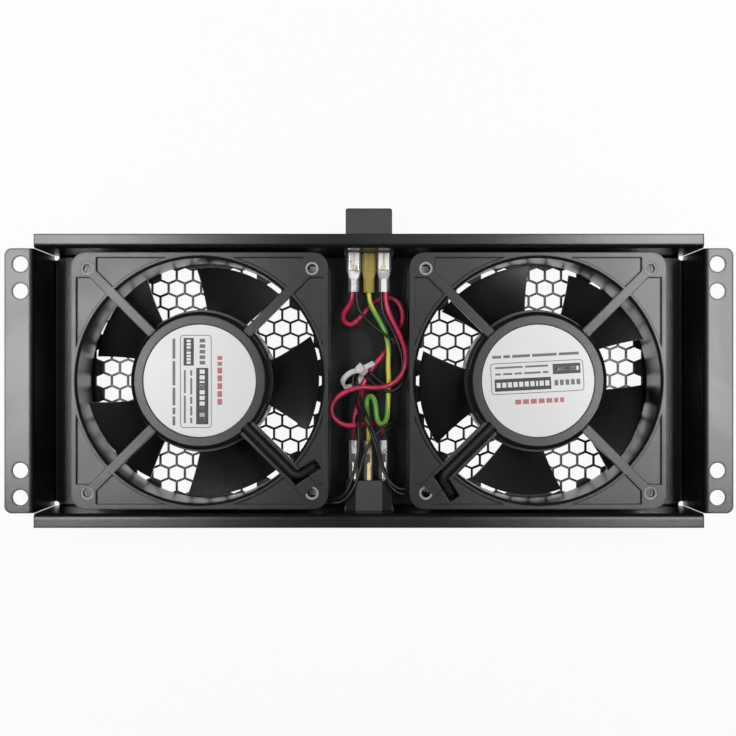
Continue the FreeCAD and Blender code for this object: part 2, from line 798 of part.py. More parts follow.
def terminals(shape, poles, inlet):
    """A copy of a terminal's piece at each of the given poles of the inlet or the outlet."""
    copies = []
    for pole in poles:
        if inlet:
            x, z = pole_places(inlet_up)[pole]
            copies.append(moved(shape, x, half_width - inlet_stand, z))
        else:
            x, z = pole_places(outlet_up)[pole]
            upright = turned(shape, 90, V(0, 1, 0))
            copies.append(turned(moved(upright, -x, half_width - outlet_depth, z), 180))
    return Part.Compound(copies)


def cable_tie():
    """The tie round the bundle: a strap in a tilted ring, its head, and the cut tail."""
    outer = tie_inner + tie_thick
    ring = tube_solid(outer, tie_inner, -tie_width / 2, tie_width / 2)
    low = tie_inner + tie_thick / 2
    head = box((low, -tie_head / 2, -tie_head / 2), (low + tie_head_tall, tie_head / 2, tie_head / 2))
    tail = box((0, -tie_thick / 2, -tie_width / 2), (tie_tail, tie_thick / 2, tie_width / 2))
    tail = moved(turned(tail, tie_tail_turn), low + tie_head_tall / 2)
    tie = ring.fuse([head, tail])
    along, axis = V(*tie_along), V(*tie_axis)
    turn = FreeCAD.Rotation(along, axis.cross(along), axis, "ZXY")
    tie.Placement = FreeCAD.Placement(V(*tie_centre), turn)
    return tie


# ---------------------------------------------------------------- wires
def wire_path(points, share):
    """Straight runs joined by tangent arcs, each as large as the share of its shorter run allows."""
    points = [V(*p) for p in points]
    edges = []
    radii = []
    last = points[0]
    for before, corner, after in zip(points, points[1:], points[2:]):
        into, out = corner - before, after - corner
        half_turn = into.getAngle(out) / 2
        tangent = share * min(into.Length, out.Length)
        radii.append(tangent / math.tan(half_turn))
        into.normalize()
        out.normalize()
        start, end = corner - into * tangent, corner + out * tangent
        inward = out - into
        inward.normalize()
        centre = corner + inward * (tangent / math.sin(half_turn))
        middle = centre - inward * radii[-1]
        edges.append(Part.LineSegment(last, start).toShape())
        edges.append(Part.Arc(start, middle, end).toShape())
        last = end
    edges.append(Part.LineSegment(last, points[-1]).toShape())
    return Part.Wire(edges), radii


def round_tube(points, diameter, share):
    """A round rod along a route, with the path that it follows and its bend radii."""
    path, radii = wire_path(points, share)
    start = path.Edges[0]
    heading = start.tangentAt(start.FirstParameter)
    profile = Part.Wire(Part.makeCircle(diameter / 2, V(*points[0]), heading))
    return path.makePipeShell([profile], True, True), path, radii


def wire_tube(name, points, diameter):
    """A wire along its route. Its bend radii and its length are printed."""
    tube, path, radii = round_tube(points, diameter, wire_share)
    ratio = tube.Volume / (math.pi * diameter ** 2 / 4 * path.Length)
    shown = " ".join(format(r, ".1f") for r in radii)
    print(name, "length", round(path.Length, 1), "volume ratio", round(ratio, 4), "radii", shown)
    return tube


# Routes of the wires between the fans, as (x, y, z). Mains wires run from the inlet to the outlet.
live_route = [
    (-7.95, 42.3, 24.2), (-7.95, 38.8, 24.2), (-9.9, 35.3, 22.8), (-12.4, 32.2, 21.0), (-12.2, 28.4, 18.8),
    (-8.8, 26.8, 17.0), (-5.4, 29.2, 15.8), (-2.0, 33.4, 15.0), (2.6, 38.2, 14.4), (7.8, 40.8, 14.4),
    (13.0, 39.6, 14.8), (16.2, 35.0, 15.4), (16.4, 28.2, 16.2), (13.4, 20.6, 17.0), (8.0, 14.0, 18.0),
    (2.4, 7.4, 19.2), (-1.8, 1.2, 20.4), (-3.6, -5.0, 20.6), (-5.0, -10.8, 19.4), (-6.8, -16.6, 18.6),
    (-7.15, -22.6, 19.4), (-7.15, -28.5, 19.4),
]
neutral_route = [
    (7.95, 42.3, 24.2), (7.95, 38.2, 24.2), (9.2, 33.2, 24.4), (12.0, 27.0, 25.6), (15.4, 20.6, 27.4),
    (17.5, 13.8, 29.2), (17.5, 6.8, 30.2), (14.4, 0.8, 30.2), (8.8, -2.8, 29.4), (2.4, -3.4, 27.8),
    (-3.8, -2.8, 26.6), (-9.8, -4.6, 26.4), (-15.0, -7.4, 26.8), (-18.2, -12.0, 27.2), (-17.4, -17.4, 27.2),
    (-12.6, -21.0, 26.6), (-7.2, -21.4, 25.0), (-2.2, -20.4, 21.6), (2.4, -19.8, 19.2), (5.6, -21.2, 18.8),
    (7.15, -24.4, 19.4), (7.15, -28.5, 19.4),
]
earth_route = [
    (0.0, 42.3, 20.2), (0.0, 38.6, 20.2), (2.0, 33.8, 20.8), (5.6, 28.0, 21.6), (8.6, 21.6, 22.0),
    (9.6, 14.4, 22.4), (9.1, 7.2, 22.8), (9.6, 0.2, 22.6), (9.2, -6.6, 22.0), (9.0, -13.0, 21.8),
    (8.8, -17.4, 22.6), (7.4, -20.6, 23.8), (4.6, -20.2, 24.8), (3.6, -16.4, 25.2), (3.2, -11.0, 24.8),
    (1.8, -7.2, 23.4), (-0.6, -7.8, 21.6), (-1.2, -11.8, 21.2), (-0.8, -16.4, 22.8), (0.0, -21.6, 24.2),
    (0.0, -28.5, 24.2),
]
# The leads of each fan leave their sleeve by the same points, given about the fan's own axis.
lead_root_a = [(53.12, -41.06, 31.3), (55.25, -39.7, 29.88), (56.2, -42.4, 26.6), (55.4, -48.0, 25.6)]
lead_root_b = [(52.28, -39.74, 31.3), (55.5, -37.67, 29.14), (58.1, -40.4, 26.6), (57.8, -46.8, 25.6)]
left_lead_a_route = [
    (-22.2, -53.4, 28.4), (-19.2, -57.2, 31.0), (-14.4, -57.8, 32.2),
    (-10.0, -55.0, 32.6), (-6.8, -49.8, 32.6), (-4.4, -43.2, 31.6), (-2.8, -36.0, 30.6), (0.4, -29.4, 29.8),
    (4.8, -23.8, 28.8), (9.6, -20.4, 27.4), (12.6, -19.4, 24.8), (11.2, -21.8, 22.2), (8.0, -24.0, 21.5),
    (7.15, -26.6, 21.45), (7.15, -28.5, 21.45),
]
left_lead_b_route = [
    (-20.4, -52.2, 28.2), (-17.4, -55.9, 29.8), (-13.8, -55.6, 31.2),
    (-10.4, -52.4, 32.2), (-8.2, -47.0, 32.0), (-6.4, -40.8, 30.8), (-5.2, -34.2, 29.4), (-4.8, -27.4, 28.6),
    (-5.0, -21.2, 28.2), (-5.4, -16.6, 25.8), (-5.6, -17.2, 22.9), (-6.7, -21.4, 21.5), (-7.15, -25.4, 21.45),
    (-7.15, -28.5, 21.45),
]
right_lead_a_route = [
    (25.4, -53.4, 29.6), (19.8, -50.6, 32.2), (14.8, -51.2, 33.6),
    (10.6, -48.8, 34.0), (7.4, -43.8, 33.2), (5.0, -37.4, 32.8), (3.0, -30.2, 33.2), (0.8, -23.2, 32.2),
    (-3.4, -17.0, 29.8), (-5.8, -11.6, 27.2), (-6.2, -6.8, 24.6), (-7.0, -3.2, 23.9), (-7.9, 0.2, 23.6),
    (-7.2, 3.8, 23.2), (-3.4, 5.9, 23.2), (1.4, 3.6, 24.2), (5.6, -0.8, 25.6), (10.2, -3.4, 26.8),
    (14.2, 0.0, 27.0), (16.2, 5.6, 26.9), (15.8, 12.2, 26.9), (13.4, 19.2, 26.4),
    (10.4, 26.0, 25.0), (6.6, 32.0, 24.2), (5.9, 38.2, 24.2), (5.9, 42.3, 24.2),
]
right_lead_b_route = [
    (26.0, -56.6, 28.2), (19.8, -53.4, 30.8), (15.4, -53.6, 32.0),
    (11.4, -51.4, 32.6), (8.6, -46.8, 32.2), (6.6, -40.4, 31.0), (5.0, -33.2, 31.4), (2.9, -26.0, 31.6),
    (0.4, -19.2, 29.8), (-2.6, -13.2, 27.2), (-4.2, -8.6, 25.0), (-5.0, -4.6, 24.0), (-5.7, -0.6, 23.8),
    (-6.4, 2.0, 22.4), (-4.2, 3.6, 21.4), (-1.4, 2.6, 22.8), (2.6, -1.6, 24.4), (6.8, -4.8, 25.6),
    (11.8, -5.2, 26.4), (16.0, -1.4, 26.2), (18.4, 4.8, 25.8), (18.0, 11.4, 25.2), (14.4, 17.2, 24.8),
    (8.8, 21.4, 24.6), (3.0, 25.2, 24.4), (-1.8, 29.8, 24.2), (-5.0, 34.0, 24.2), (-5.9, 38.6, 24.2),
    (-5.9, 42.3, 24.2),
]


def lead_route(side, root, bay):
    """A fan lead's whole route: its fan's end, moved to that fan, and its points in the bay."""
    start = []
    for x, y, z in root:
        if side == "right":
            start.append((fan_spacing / 2 + y, -x, fan_base + z))
        else:
            start.append((x - fan_spacing / 2, y, fan_base + z))
    return start + bay


def all_routes():
    """Every wire's route and diameter, by name."""
    return {
        "live_wire": (live_route, mains_wire),
        "neutral_wire": (neutral_route, mains_wire),
        "earth_wire": (earth_route, mains_wire),
        "left_lead_a": (lead_route("left", lead_root_a, left_lead_a_route), fan_wire),
        "left_lead_b": (lead_route("left", lead_root_b, left_lead_b_route), fan_wire),
        "right_lead_a": (lead_route("right", lead_root_a, right_lead_a_route), fan_wire),
        "right_lead_b": (lead_route("right", lead_root_b, right_lead_b_route), fan_wire),
    }


# ---------------------------------------------------------------- the whole tray
def placed(shape, side):
    """A piece of a fan, moved to the left or the right fan. The right fan is turned by 90 degrees."""
    if side == "right":
        shape = turned(shape, -90)
    return moved(shape, fan_spacing / 2 if side == "right" else -fan_spacing / 2, 0, fan_base)


def model():
    """Every piece by name."""
    parts = {"tray_pan": tray_pan()}
    frame = fan_frame()
    for side in ("left", "right"):
        parts[side + "_fan_frame"] = placed(frame, side)
        parts[side + "_hub_label"] = placed(hub_label(), side)
        parts[side + "_bearings"] = placed(bearings(), side)
        parts[side + "_stator_core"] = placed(stator_core(), side)
        parts[side + "_stator_coils"] = placed(stator_coils(), side)
        parts[side + "_rotor_shaft"] = placed(rotor_shaft(), side)
        parts[side + "_lead_sleeve"] = placed(lead_sleeve(), side)
        parts[side + "_circlip"] = placed(circlip(), side)
        parts[side + "_rotor_cup"] = placed(rotor_cup(), side)
        parts[side + "_rotor_ring"] = placed(rotor_ring(), side)
        turn = left_rotor_turn if side == "left" else right_rotor_turn + 90
        parts[side + "_impeller"] = placed(impeller(turn), side)
        offset = -fan_spacing / 2 if side == "left" else fan_spacing / 2
        parts[side + "_fan_screws"] = moved(fan_screws(), offset)
        parts[side + "_fan_nuts"] = moved(fan_nuts(), offset)
    parts["inlet_body"] = inlet_body()
    parts["inlet_pins"] = inlet_pins()
    parts["outlet_body"] = turned(outlet_body(), 180)
    parts["outlet_contacts"] = turned(outlet_contacts(), 180)
    for coupler in ("inlet", "outlet"):
        inlet = coupler == "inlet"
        for piece, shape in (("receptacle", receptacle()), ("boot", boot())):
            parts[coupler + "_" + piece + "s"] = terminals(shape, (0, 2), inlet)
            parts[coupler + "_earth_" + piece] = terminals(shape, (1,), inlet)
    parts["cable_tie"] = cable_tie()
    for name, (route, diameter) in all_routes().items():
        parts[name] = wire_tube(name, route, diameter)
    return parts


os.makedirs("parts", exist_ok=True)
for node, solid in model().items():
    solid.exportStep("parts/" + node + ".step")
    print(node, len(solid.Solids), round(solid.Volume, 1), solid.isValid())
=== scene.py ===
"""Dresses the roof fan tray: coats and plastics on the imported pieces, the label prints, the wiring of
the bay with its crimps and tie, and the table top that the tray lies on."""
import math

import bmesh
import bpy
from mathutils import Matrix, Vector


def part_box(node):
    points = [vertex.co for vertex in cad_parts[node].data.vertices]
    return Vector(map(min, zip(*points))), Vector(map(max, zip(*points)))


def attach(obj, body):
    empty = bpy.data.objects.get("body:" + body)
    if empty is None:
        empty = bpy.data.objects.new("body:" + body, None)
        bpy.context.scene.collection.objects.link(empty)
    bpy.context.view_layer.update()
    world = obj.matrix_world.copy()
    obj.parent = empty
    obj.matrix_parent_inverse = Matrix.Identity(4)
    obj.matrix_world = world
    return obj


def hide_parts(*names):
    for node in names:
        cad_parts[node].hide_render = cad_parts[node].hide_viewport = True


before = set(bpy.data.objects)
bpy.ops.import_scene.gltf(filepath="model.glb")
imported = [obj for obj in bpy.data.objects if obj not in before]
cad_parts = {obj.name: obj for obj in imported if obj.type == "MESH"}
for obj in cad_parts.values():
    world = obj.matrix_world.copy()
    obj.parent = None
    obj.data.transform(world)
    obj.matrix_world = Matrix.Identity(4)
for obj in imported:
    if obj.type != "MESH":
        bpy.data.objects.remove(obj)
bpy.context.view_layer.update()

bl_info = {
    "name": "Roof Fan Tray Finish",
    "version": (1, 0, 0),
    "blender": (4, 5, 0),
    "location": "View3D > Sidebar > Fan Tray",
    "description": "Finishes, prints and wiring of a two-fan cabinet roof tray",
    "category": "Object",
}

MM = 0.001


# ------------------------------------------------------------------ settings
def colour(name, description, default):
    """A colour setting."""
    return bpy.props.FloatVectorProperty(
        name=name, description=description, default=default, size=3, min=0, max=1, subtype="COLOR"
    )


def length(name, description, default):
    """A length setting in metres."""
    return bpy.props.FloatProperty(name=name, description=description, default=default, unit="LENGTH")


def share(name, description, default):
    """A setting between nothing and all."""
    return bpy.props.FloatProperty(
        name=name, description=description, default=default, min=0, max=1, subtype="FACTOR"
    )


class TrayFinish(bpy.types.PropertyGroup):
    """Finish of the folded pan."""
    coat: colour("Coat", "Powder coat of the pan", (0.0065, 0.0068, 0.0078))
    fleck: colour("Fleck", "High spots of the powder coat", (0.015, 0.0155, 0.017))
    # The rubbed coat is lighter than the coat, partly as wear and partly as a painted highlight along the
    # pan's bends and edges.
    rubbed_and_highlit: colour("Rubbed coat", "Powder coat along its edges", (0.085, 0.087, 0.092))
    coat_roughness: share("Coat roughness", "Roughness of the powder coat", 0.24)
    grain: length("Grain", "Size of the powder coat's grain", 0.0007)


class FanFinish(bpy.types.PropertyGroup):
    """Finish of the two fans."""
    frame_paint: colour("Frame paint", "Satin paint of the die-cast frame", (0.0095, 0.0097, 0.0092))
    frame_high: colour("Frame high spots", "Paint where the grain stands up", (0.023, 0.0233, 0.0222))
    blade: colour("Blade", "Moulded impeller", (0.012, 0.0125, 0.014))
    cup: colour("Rotor cup", "Painted rotor cup", (0.02, 0.02, 0.021))
    # The bare bevel's light grey is partly bare machined metal and partly a painted highlight, bright from
    # every side.
    bare_metal_highlight: colour("Bare metal", "Machined bevel of the frame's holes", (0.62, 0.62, 0.61))
    ring_width: length("Ring width", "Width of the bare bevel round a hole", 0.0009)
    ring_drop: length("Ring drop", "How deep the bare bevel goes", 0.0009)
    ring_lift: length("Ring lift", "How far the bare bevel lies on the painted one", 0.00002)
    hole_radius: length("Hole radius", "Bare bevel's inner radius", 0.00219)
    hole_reach: length("Hole reach", "From the fan's middle to a corner hole, along each side", 0.0524)


class MotorFinish(bpy.types.PropertyGroup):
    """Metals inside the motors and of the fasteners."""
    core: colour("Core", "Steel of the stator core and the cage ring", (0.45, 0.45, 0.46))
    copper: colour("Copper", "Varnished windings", (0.72, 0.33, 0.16))
    bronze: colour("Bronze", "Sleeve bearings", (0.62, 0.45, 0.26))
    ground: colour("Ground steel", "Rotor shaft", (0.66, 0.66, 0.67))
    spring: colour("Spring steel", "Retaining ring", (0.3, 0.3, 0.31))
    zinc: colour("Zinc", "Plating of the screws and nuts", (0.72, 0.73, 0.74))


class LabelFinish(bpy.types.PropertyGroup):
    """Print on the motor labels."""
    foil: colour("Foil", "Ground of the label", (0.93, 0.94, 0.935))
    ink: colour("Ink", "Dark bars", (0.012, 0.012, 0.013))
    fine_ink: colour("Fine ink", "Thin lines", (0.16, 0.16, 0.165))
    red_ink: colour("Red ink", "Red bar", (0.62, 0.16, 0.17))
    line: length("Line", "Width of the thin outline", 0.00035)
    ink_depth: length("Ink depth", "How far the print stands on the foil", 0.00003)


class WireFinish(bpy.types.PropertyGroup):
    """Colours and sizes of the wiring and of the couplers it ends in."""
    red: colour("Red", "Insulation of the mains wires", (0.8, 0.04, 0.12))
    green: colour("Green", "Insulation of the earth wire", (0.16, 0.46, 0.07))
    yellow: colour("Yellow", "Stripe of the earth wire", (0.8, 0.74, 0.07))
    black: colour("Black", "Insulation of the fan leads", (0.012, 0.012, 0.013))
    housing: colour("Housing", "Nylon of the couplers", (0.03, 0.031, 0.034))
    housing_high: colour("Housing high spots", "Grain of that nylon", (0.055, 0.056, 0.06))
    boot: colour("Boot", "Clear boots", (0.9, 0.92, 0.92))
    earth_boot: colour("Earth boot", "Yellow boot of the inlet's earth", (0.55, 0.47, 0.1))
    tie: colour("Tie", "Natural nylon of the cable tie", (0.93, 0.93, 0.9))
    tinned: colour("Tinned", "Plating of the crimps", (0.78, 0.77, 0.75))
    brass: colour("Brass", "Bare brass of the earth crimps", (0.82, 0.62, 0.27))
    mains: length("Mains wire", "Diameter of a mains wire", 0.0024)
    lead: length("Fan lead", "Diameter of a fan lead", 0.0015)
    sleeve: colour("Sleeve", "Sleeve over the leads in their channel", (0.012, 0.012, 0.012))
    woven: colour("Woven sleeve", "Sleeve on each lead where it leaves its frame", (0.05, 0.05, 0.052))
    woven_high: colour("Woven sleeve threads", "Its raised threads", (0.11, 0.11, 0.115))
    sleeve_length: length("Sleeve length", "Woven sleeve on each lead under the frame's corner", 0.009)
    sleeve_wall: length("Sleeve wall", "How much the woven sleeve adds to the lead's diameter", 0.0009)
    left_sleeve: length("Left sleeve end", "Along the lead, where the left fan's sleeves end", 0.0185)
    right_sleeve: length("Right sleeve end", "Along the lead, where the right fan's sleeves end", 0.025)


class StageFinish(bpy.types.PropertyGroup):
    """Camera, lamps and table top."""
    camera_height: length("Camera height", "Above the table", 0.6749)
    lens: bpy.props.FloatProperty(name="Lens", description="Focal length, millimetres", default=66.65)
    shift_x: bpy.props.FloatProperty(name="Shift X", description="Sideways shift", default=-0.0012)
    shift_y: bpy.props.FloatProperty(name="Shift Y", description="Upward shift", default=0.0174)
    sky: bpy.props.FloatProperty(name="Sky", description="Strength of the even light", default=0.075)
    softbox: bpy.props.FloatProperty(name="Softbox", description="Power of each softbox", default=1.9)
    softbox_width: length("Softbox width", "Width of each softbox", 0.36)
    softbox_length: length("Softbox length", "Length of each softbox", 0.64)
    softbox_aside: length("Softbox aside", "How far each softbox stands aside", 0.44)
    softbox_along: length("Softbox along", "How far each softbox stands towards the inlet", 0.18)
    softbox_height: length("Softbox height", "Height of the softboxes", 1.1)
    softbox_spread: bpy.props.FloatProperty(
        name="Softbox spread", description="Opening of its grid, degrees", default=66
    )
    table_reach: length("Table reach", "From the tray's middle to each edge", 3.0)
    table_gap: length("Table gap", "How far the table lies below the tray", 0.0004)
    table_glow: share("Table glow", "How much of the table's white is its own", 0.93)


# ------------------------------------------------------------------ shader helpers
class Shade:
    """A small writer for one node tree."""

    def __init__(self, tree):
        self.tree = tree
        self.column = 0

    def add(self, kind, **settings):
        node = self.tree.nodes.new(kind)
        self.column += 1
        node.location = (180 * self.column, -40 * (self.column % 5))
        for name, value in settings.items():
            setattr(node, name, value)
        return node

    def link(self, out, into):
        self.tree.links.new(out, into)

    def feed(self, node, name, value):
        """Sets a socket, or links it when the value is another node's output."""
        socket = node.inputs[name]
        if isinstance(value, bpy.types.NodeSocket):
            self.link(value, socket)
        else:
            socket.default_value = value

    def math(self, operation, first, second=0.5, clamp=False):
        node = self.add("ShaderNodeMath", operation=operation, use_clamp=clamp)
        self.feed(node, 0, first)
        self.feed(node, 1, second)
        return node.outputs[0]

    def mix(self, factor, first, second):
        node = self.add("ShaderNodeMix", data_type="RGBA")
        self.feed(node, 0, factor)
        self.feed(node, 6, first)
        self.feed(node, 7, second)
        return node.outputs[2]

    def blend(self, value, low, high, out_low=0.0, out_high=1.0):
        node = self.add("ShaderNodeMapRange", interpolation_type="SMOOTHSTEP")
        for name, number in (("Value", value), ("From Min", low), ("From Max", high)):
            self.feed(node, name, number)
        self.feed(node, "To Min", out_low)
        self.feed(node, "To Max", out_high)
        return node.outputs[0]


def rgba(values):
    """A colour with full alpha."""
    return (values[0], values[1], values[2], 1.0)


def effect_group(name, inputs, outputs):
    """An empty effect group with its sockets, its writer and its two ends."""
    tree = bpy.data.node_groups.new(name, "ShaderNodeTree")
    for label, default in inputs:
        socket = tree.interface.new_socket(label, in_out="INPUT", socket_type="NodeSocketFloat")
        socket.default_value = default
    for label, kind in outputs:
        tree.interface.new_socket(label, in_out="OUTPUT", socket_type=kind)
    shade = Shade(tree)
    return tree, shade, shade.add("NodeGroupInput"), shade.add("NodeGroupOutput")


def grain_group():
    """Fine grain of a sprayed or cast surface: a height and a mask of its high spots."""
    if "surface grain" in bpy.data.node_groups:
        return bpy.data.node_groups["surface grain"]
    tree, shade, start, end = effect_group(
        "surface grain",
        [("Grain Size", 0.0007), ("Unevenness", 0.5), ("Cloud Size", 0.03)],
        [("Height", "NodeSocketFloat"), ("High Spots", "NodeSocketFloat"), ("Cloud", "NodeSocketFloat")],
    )
    place = shade.add("ShaderNodeTexCoord").outputs["Object"]
    fine_scale = shade.math("DIVIDE", 1.0, start.outputs["Grain Size"])
    cloud_scale = shade.math("DIVIDE", 1.0, start.outputs["Cloud Size"])
    fine = shade.add("ShaderNodeTexNoise")
    fine.inputs["Detail"].default_value = 3.0
    shade.link(place, fine.inputs["Vector"])
    shade.link(fine_scale, fine.inputs["Scale"])
    cloud = shade.add("ShaderNodeTexNoise")
    cloud.inputs["Detail"].default_value = 4.0
    shade.link(place, cloud.inputs["Vector"])
    shade.link(cloud_scale, cloud.inputs["Scale"])
    shade.link(fine.outputs["Fac"], end.inputs["Height"])
    spots = shade.blend(fine.outputs["Fac"], 0.52, 0.72)
    shade.link(shade.math("MULTIPLY", spots, start.outputs["Unevenness"]), end.inputs["High Spots"])
    shade.link(shade.blend(cloud.outputs["Fac"], 0.35, 0.65), end.inputs["Cloud"])
    return tree


def edge_group():
    """Edges of a piece, from how far a rounded normal leaves the flat one."""
    if "rubbed edges" in bpy.data.node_groups:
        return bpy.data.node_groups["rubbed edges"]
    tree, shade, start, end = effect_group(
        "rubbed edges",
        [("Edge Width", 0.0006)],
        [("Edge", "NodeSocketFloat"), ("Rounded Normal", "NodeSocketVector")],
    )
    bevel = shade.add("ShaderNodeBevel", samples=4)
    shade.link(start.outputs["Edge Width"], bevel.inputs["Radius"])
    flat = shade.add("ShaderNodeNewGeometry")
    dot = shade.add("ShaderNodeVectorMath", operation="DOT_PRODUCT")
    shade.link(bevel.outputs["Normal"], dot.inputs[0])
    shade.link(flat.outputs["Normal"], dot.inputs[1])
    shade.link(shade.blend(dot.outputs["Value"], 0.995, 0.8), end.inputs["Edge"])
    shade.link(bevel.outputs["Normal"], end.inputs["Rounded Normal"])
    return tree


def scuff_group():
    """Long faint scratches and smudges, as a change of roughness."""
    if "handling scuffs" in bpy.data.node_groups:
        return bpy.data.node_groups["handling scuffs"]
    tree, shade, start, end = effect_group(
        "handling scuffs",
        [("Spread", 0.06), ("Amount", 0.15)],
        [("Roughness Change", "NodeSocketFloat")],
    )
    place = shade.add("ShaderNodeTexCoord").outputs["Object"]
    scale = shade.math("DIVIDE", 1.0, start.outputs["Spread"])
    smudge = shade.add("ShaderNodeTexNoise")
    smudge.inputs["Detail"].default_value = 6.0
    smudge.inputs["Distortion"].default_value = 1.2
    shade.link(place, smudge.inputs["Vector"])
    shade.link(scale, smudge.inputs["Scale"])
    change = shade.blend(smudge.outputs["Fac"], 0.4, 0.7)
    shade.link(shade.math("MULTIPLY", change, start.outputs["Amount"]), end.inputs["Roughness Change"])
    return tree


def place_group(shade, tree, **values):
    """Places an effect group in a material with its own values."""
    node = shade.add("ShaderNodeGroup", node_tree=tree)
    for label, value in values.items():
        node.inputs[label.replace("_", " ").title()].default_value = value
    return node


def new_material(name):
    """An empty material with its writer, its principled shader and its output."""
    material = bpy.data.materials.new(name)
    material.use_nodes = True
    material.node_tree.nodes.clear()
    shade = Shade(material.node_tree)
    surface = shade.add("ShaderNodeBsdfPrincipled")
    end = shade.add("ShaderNodeOutputMaterial")
    shade.link(surface.outputs[0], end.inputs["Surface"])
    return material, shade, surface


def bump(shade, surface, height, depth, strength, normal=None):
    """Feeds a height to the shader's normal."""
    node = shade.add("ShaderNodeBump")
    node.inputs["Strength"].default_value = strength
    node.inputs["Distance"].default_value = depth
    shade.link(height, node.inputs["Height"])
    if normal is not None:
        shade.link(normal, node.inputs["Normal"])
    shade.link(node.outputs[0], surface.inputs["Normal"])


def grained(name, base, high, roughness, grain, depth, edge=0.0006, edge_colour=None, unevenness=0.5, scuffed=0.04):
    """A coat, paint or moulded plastic with its grain, its clouds and its edges in an edge colour, which by
    default is lighter, as wear and as a painted highlight.
    """
    material, shade, surface = new_material(name)
    effect = place_group(shade, grain_group(), grain_size=grain, unevenness=unevenness, cloud_size=0.035)
    edges = place_group(shade, edge_group(), edge_width=edge)
    marks = place_group(shade, scuff_group(), spread=0.05, amount=scuffed)
    body = shade.mix(effect.outputs["High Spots"], rgba(base), rgba(high))
    clouded = shade.mix(shade.math("MULTIPLY", effect.outputs["Cloud"], 0.25), body, rgba(high))
    # Edges take the given edge colour, or by default one lighter than the high spots: wear and a painted
    # highlight together.
    edge_tone = edge_colour if edge_colour else [min(1.0, 2.2 * c) for c in high]
    edged = shade.mix(shade.math("MULTIPLY", edges.outputs["Edge"], 0.7), clouded, rgba(edge_tone))
    shade.link(edged, surface.inputs["Base Color"])
    rough = shade.math("ADD", marks.outputs["Roughness Change"], roughness - scuffed / 3, clamp=True)
    shade.link(rough, surface.inputs["Roughness"])
    bump(shade, surface, effect.outputs["Height"], depth, 0.6, edges.outputs["Rounded Normal"])
    return material


def metal(name, tint, roughness, brushed=0.0, edge=0.0003):
    """A bare or plated metal with fine drawn lines."""
    material, shade, surface = new_material(name)
    surface.inputs["Metallic"].default_value = 1.0
    place = shade.add("ShaderNodeTexCoord").outputs["Object"]
    stretch = shade.add("ShaderNodeMapping")
    stretch.inputs["Scale"].default_value = (2600.0, 260.0, 2600.0)
    shade.link(place, stretch.inputs["Vector"])
    lines = shade.add("ShaderNodeTexNoise")
    lines.inputs["Scale"].default_value = 1.0
    lines.inputs["Detail"].default_value = 2.0
    shade.link(stretch.outputs[0], lines.inputs["Vector"])
    marks = place_group(shade, scuff_group(), spread=0.012, amount=0.25)
    edges = place_group(shade, edge_group(), edge_width=edge)
    dull = [0.72 * c for c in tint]
    shade.link(shade.mix(lines.outputs["Fac"], rgba(tint), rgba(dull)), surface.inputs["Base Color"])
    rough = shade.math("ADD", marks.outputs["Roughness Change"], roughness, clamp=True)
    shade.link(rough, surface.inputs["Roughness"])
    bump(shade, surface, lines.outputs["Fac"], 0.00002, 0.2 + brushed, edges.outputs["Rounded Normal"])
    return material


def insulation(name, tint, roughness=0.28):
    """Glossy PVC insulation, a little uneven along the wire."""
    material, shade, surface = new_material(name)
    effect = place_group(shade, grain_group(), grain_size=0.0022, unevenness=0.5, cloud_size=0.012)
    deep = [0.62 * c for c in tint]
    shade.link(shade.mix(effect.outputs["Cloud"], rgba(tint), rgba(deep)), surface.inputs["Base Color"])
    rough = shade.blend(effect.outputs["Height"], 0.3, 0.7, roughness - 0.06, roughness + 0.1)
    shade.link(rough, surface.inputs["Roughness"])
    bump(shade, surface, effect.outputs["Height"], 0.00004, 0.3)
    return material


def striped_insulation(values):
    """Green insulation with a yellow stripe that winds slowly round the wire."""
    material, shade, surface = new_material("green and yellow insulation")
    around = shade.add("ShaderNodeUVMap", uv_map="around")
    parts = shade.add("ShaderNodeSeparateXYZ")
    shade.link(around.outputs[0], parts.inputs[0])
    drift = shade.math("MULTIPLY", parts.outputs["Y"], 0.05)
    phase = shade.math("FRACT", shade.math("ADD", parts.outputs["X"], drift), 0.0)
    ridge = shade.math("ABSOLUTE", shade.math("SUBTRACT", phase, 0.5), 0.0)
    stripe = shade.blend(ridge, 0.29, 0.25)
    shade.link(shade.mix(stripe, rgba(values.green), rgba(values.yellow)), surface.inputs["Base Color"])
    effect = place_group(shade, grain_group(), grain_size=0.0022, unevenness=0.5, cloud_size=0.012)
    shade.link(shade.blend(effect.outputs["Height"], 0.3, 0.7, 0.26, 0.42), surface.inputs["Roughness"])
    bump(shade, surface, effect.outputs["Height"], 0.00004, 0.3)
    return material


def clear_plastic(name, tint, facing, grazing):
    """Soft see-through PVC, thicker to the eye where it curves away."""
    material, shade, surface = new_material(name)
    effect = place_group(shade, grain_group(), grain_size=0.002, unevenness=0.4, cloud_size=0.006)
    cloudy = [0.85 * c for c in tint]
    shade.link(shade.mix(effect.outputs["Cloud"], rgba(tint), rgba(cloudy)), surface.inputs["Base Color"])
    shade.link(shade.blend(effect.outputs["Cloud"], 0.0, 1.0, 0.16, 0.3), surface.inputs["Roughness"])
    rim = shade.add("ShaderNodeLayerWeight")
    rim.inputs["Blend"].default_value = 0.5
    shade.link(shade.blend(rim.outputs["Facing"], 0.25, 0.95, facing, grazing), surface.inputs["Alpha"])
    bump(shade, surface, effect.outputs["Height"], 0.00006, 0.4)
    return material


# ------------------------------------------------------------------ mesh helpers
def paint(node, material):
    """Gives one CAD piece its finish."""
    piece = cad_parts[node]
    if not piece.material_slots:
        piece.data.materials.append(material)
    for slot in piece.material_slots:
        slot.material = material


